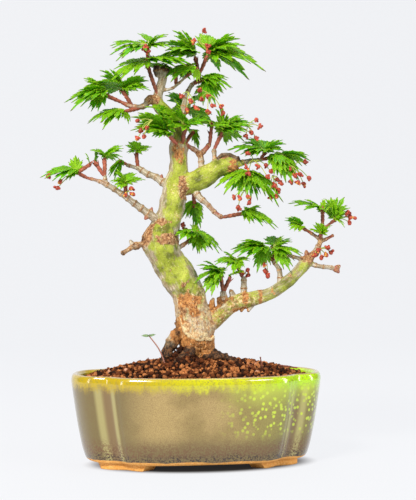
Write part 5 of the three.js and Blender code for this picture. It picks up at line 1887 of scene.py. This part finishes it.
@dataclass
class Studio:
    """A pale sweep under soft light, and the camera."""

    floor_half: float = 2.4        # metres, as the wall's sizes
    wall_from: float = 1.2
    wall_bend: float = 0.9
    wall_top: float = 3.2
    target: Point = (8.8, 0.0, 165.0)
    distance: float = 1000.0
    azimuth: float = -9.0
    lens: float = 90.0

    def sweep(self) -> Object:
        """Make the floor, curved up into a back wall.

        Returns:
            The floor.
        """
        arc = np.linspace(0, math.pi / 2, 24)
        front = np.array([[-self.floor_half, 0.0], [self.wall_from, 0.0]])
        bend = self.wall_bend
        curve = np.column_stack([self.wall_from + bend * np.sin(arc), bend - bend * np.cos(arc)])
        rows = np.vstack([front, curve[1:], [[self.wall_from + bend, self.wall_top]]])
        width = np.array([-self.floor_half, self.floor_half])
        grid = np.stack(np.broadcast_arrays(width[None], rows[:, :1], rows[:, 1:]), axis=-1)
        surface = Surface()
        points = grid.reshape(-1, 3) / MM - np.array(ORIGIN) / MM
        surface.add(points, [grid_faces(len(rows), 2, False, True)])
        floor = surface.build("studio_sweep", [SweepFinish().make()])
        return floor

    def light(self, name: str, place: Point, size: tuple[float, float], power: float, colour: str) -> None:
        """Hang a rectangular softbox that faces the tree.

        Args:
            name: the light's name.
            place: metres in the shared frame.
            size: metres.
            power: watts.
            colour: sRGB hex.
        """
        data = bpy.data.lights.new(name, "AREA")
        data.shape = "RECTANGLE"
        data.size, data.size_y = size
        data.energy = power
        data.color = srgb(colour)[:3]
        lamp = bpy.data.objects.new(name, data)
        lamp.location = place
        lamp.rotation_euler = (Vector((0, 0, 0.16)) - Vector(place)).to_track_quat("-Z", "Y").to_euler()
        bpy.context.scene.collection.objects.link(lamp)

    def build(self) -> None:
        """Set floor, lights, world and camera."""
        self.sweep()
        self.light("key", (-0.9, -1.15, 1.25), (0.5, 0.4), 39.0, "#fff8ec")
        self.light("fill", (1.0, -1.1, 0.95), (0.5, 0.35), 8.0, "#f7faff")
        self.light("top", (0.1, 0.2, 1.8), (1.2, 1.0), 12.0, "#ffffff")
        self.light("strip_left", (-1.2, -0.55, 0.3), (0.2, 0.9), 4.0, "#ffffff")
        self.light("strip_right", (1.2, -0.45, 0.3), (0.2, 0.9), 6.0, "#ffffff")
        world = bpy.data.worlds.new("studio_air")
        bpy.context.scene.world = world
        world.use_nodes = True
        air = world.node_tree.nodes["Background"]
        air.inputs["Color"].default_value = srgb("#f2f4f8")
        air.inputs["Strength"].default_value = 0.1
        scene = bpy.context.scene
        scene.view_settings.view_transform = "Standard"
        data = bpy.data.cameras.new("camera")
        data.lens = self.lens
        data.sensor_width = 36.0
        data.clip_start, data.clip_end = 0.05, 20.0
        camera = bpy.data.objects.new("camera", data)
        scene.collection.objects.link(camera)
        scene.camera = camera
        turn = math.radians(self.azimuth)
        back = Vector((math.sin(turn), -math.cos(turn), 0.0))
        camera.location = ORIGIN + Vector(self.target) * MM + back * self.distance * MM
        camera.rotation_euler = (-back).to_track_quat("-Z", "Y").to_euler()


# ---- assembly


def fit(piece: Object) -> None:
    """Seat a piece on the part's body and report it.

    Args:
        piece: the piece.
    """
    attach(piece, Body.ROOT.value)
    LOG.info("%s: %d faces", piece.name, len(piece.data.polygons))


def dress(node: str, material: Material) -> None:
    """Give a CAD node that stays in the picture its material.

    Args:
        node: the node's name.
        material: its finish.
    """
    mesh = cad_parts[node].data
    mesh.materials.clear()
    mesh.materials.append(material)
    LOG.info("%s dressed", node)


def main() -> None:
    logging.basicConfig(level=logging.INFO, format="%(message)s")
    wire, net = WIRE.make(), MESH.make()
    for side in ("left", "right"):
        dress(f"screen_clip_{side}", wire)
        low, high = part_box(f"drain_screen_{side}")
        fit(DrainScreen(f"drain_screen_{side}").build(net, (low + high) / 2))
    dress("drainage_grit", PUMICE.make())
    pot = Pot()
    fit(pot.build(PotFinish().make()))
    fit(Soil(pot).build(EarthFinish().make()))
    fit(TreeWood().build(BarkFinish().make()))
    fit(Seedling().build([SEEDLING_STEM.make(), SEEDLING_LEAF.make()]))
    fit(DryTwigs().build(TWIG.make()))
    blade, stalk, scale, flower = (finish.make() for finish in (BLADE, STALK, SCALE, FLOWER))
    for seed, (place, sprigs) in enumerate(SHOOTS.items()):
        fit(Shoot(f"leaves_{place}", sprigs, seed).build([blade, stalk, scale]))
    for seed, (place, (base, buds)) in enumerate(FLOWERS.items(), 100):
        fit(FlowerCluster(f"flowers_{place}", base, buds, seed).build([flower, stalk]))
    Studio().build()


if __name__ == "__main__":
    main()
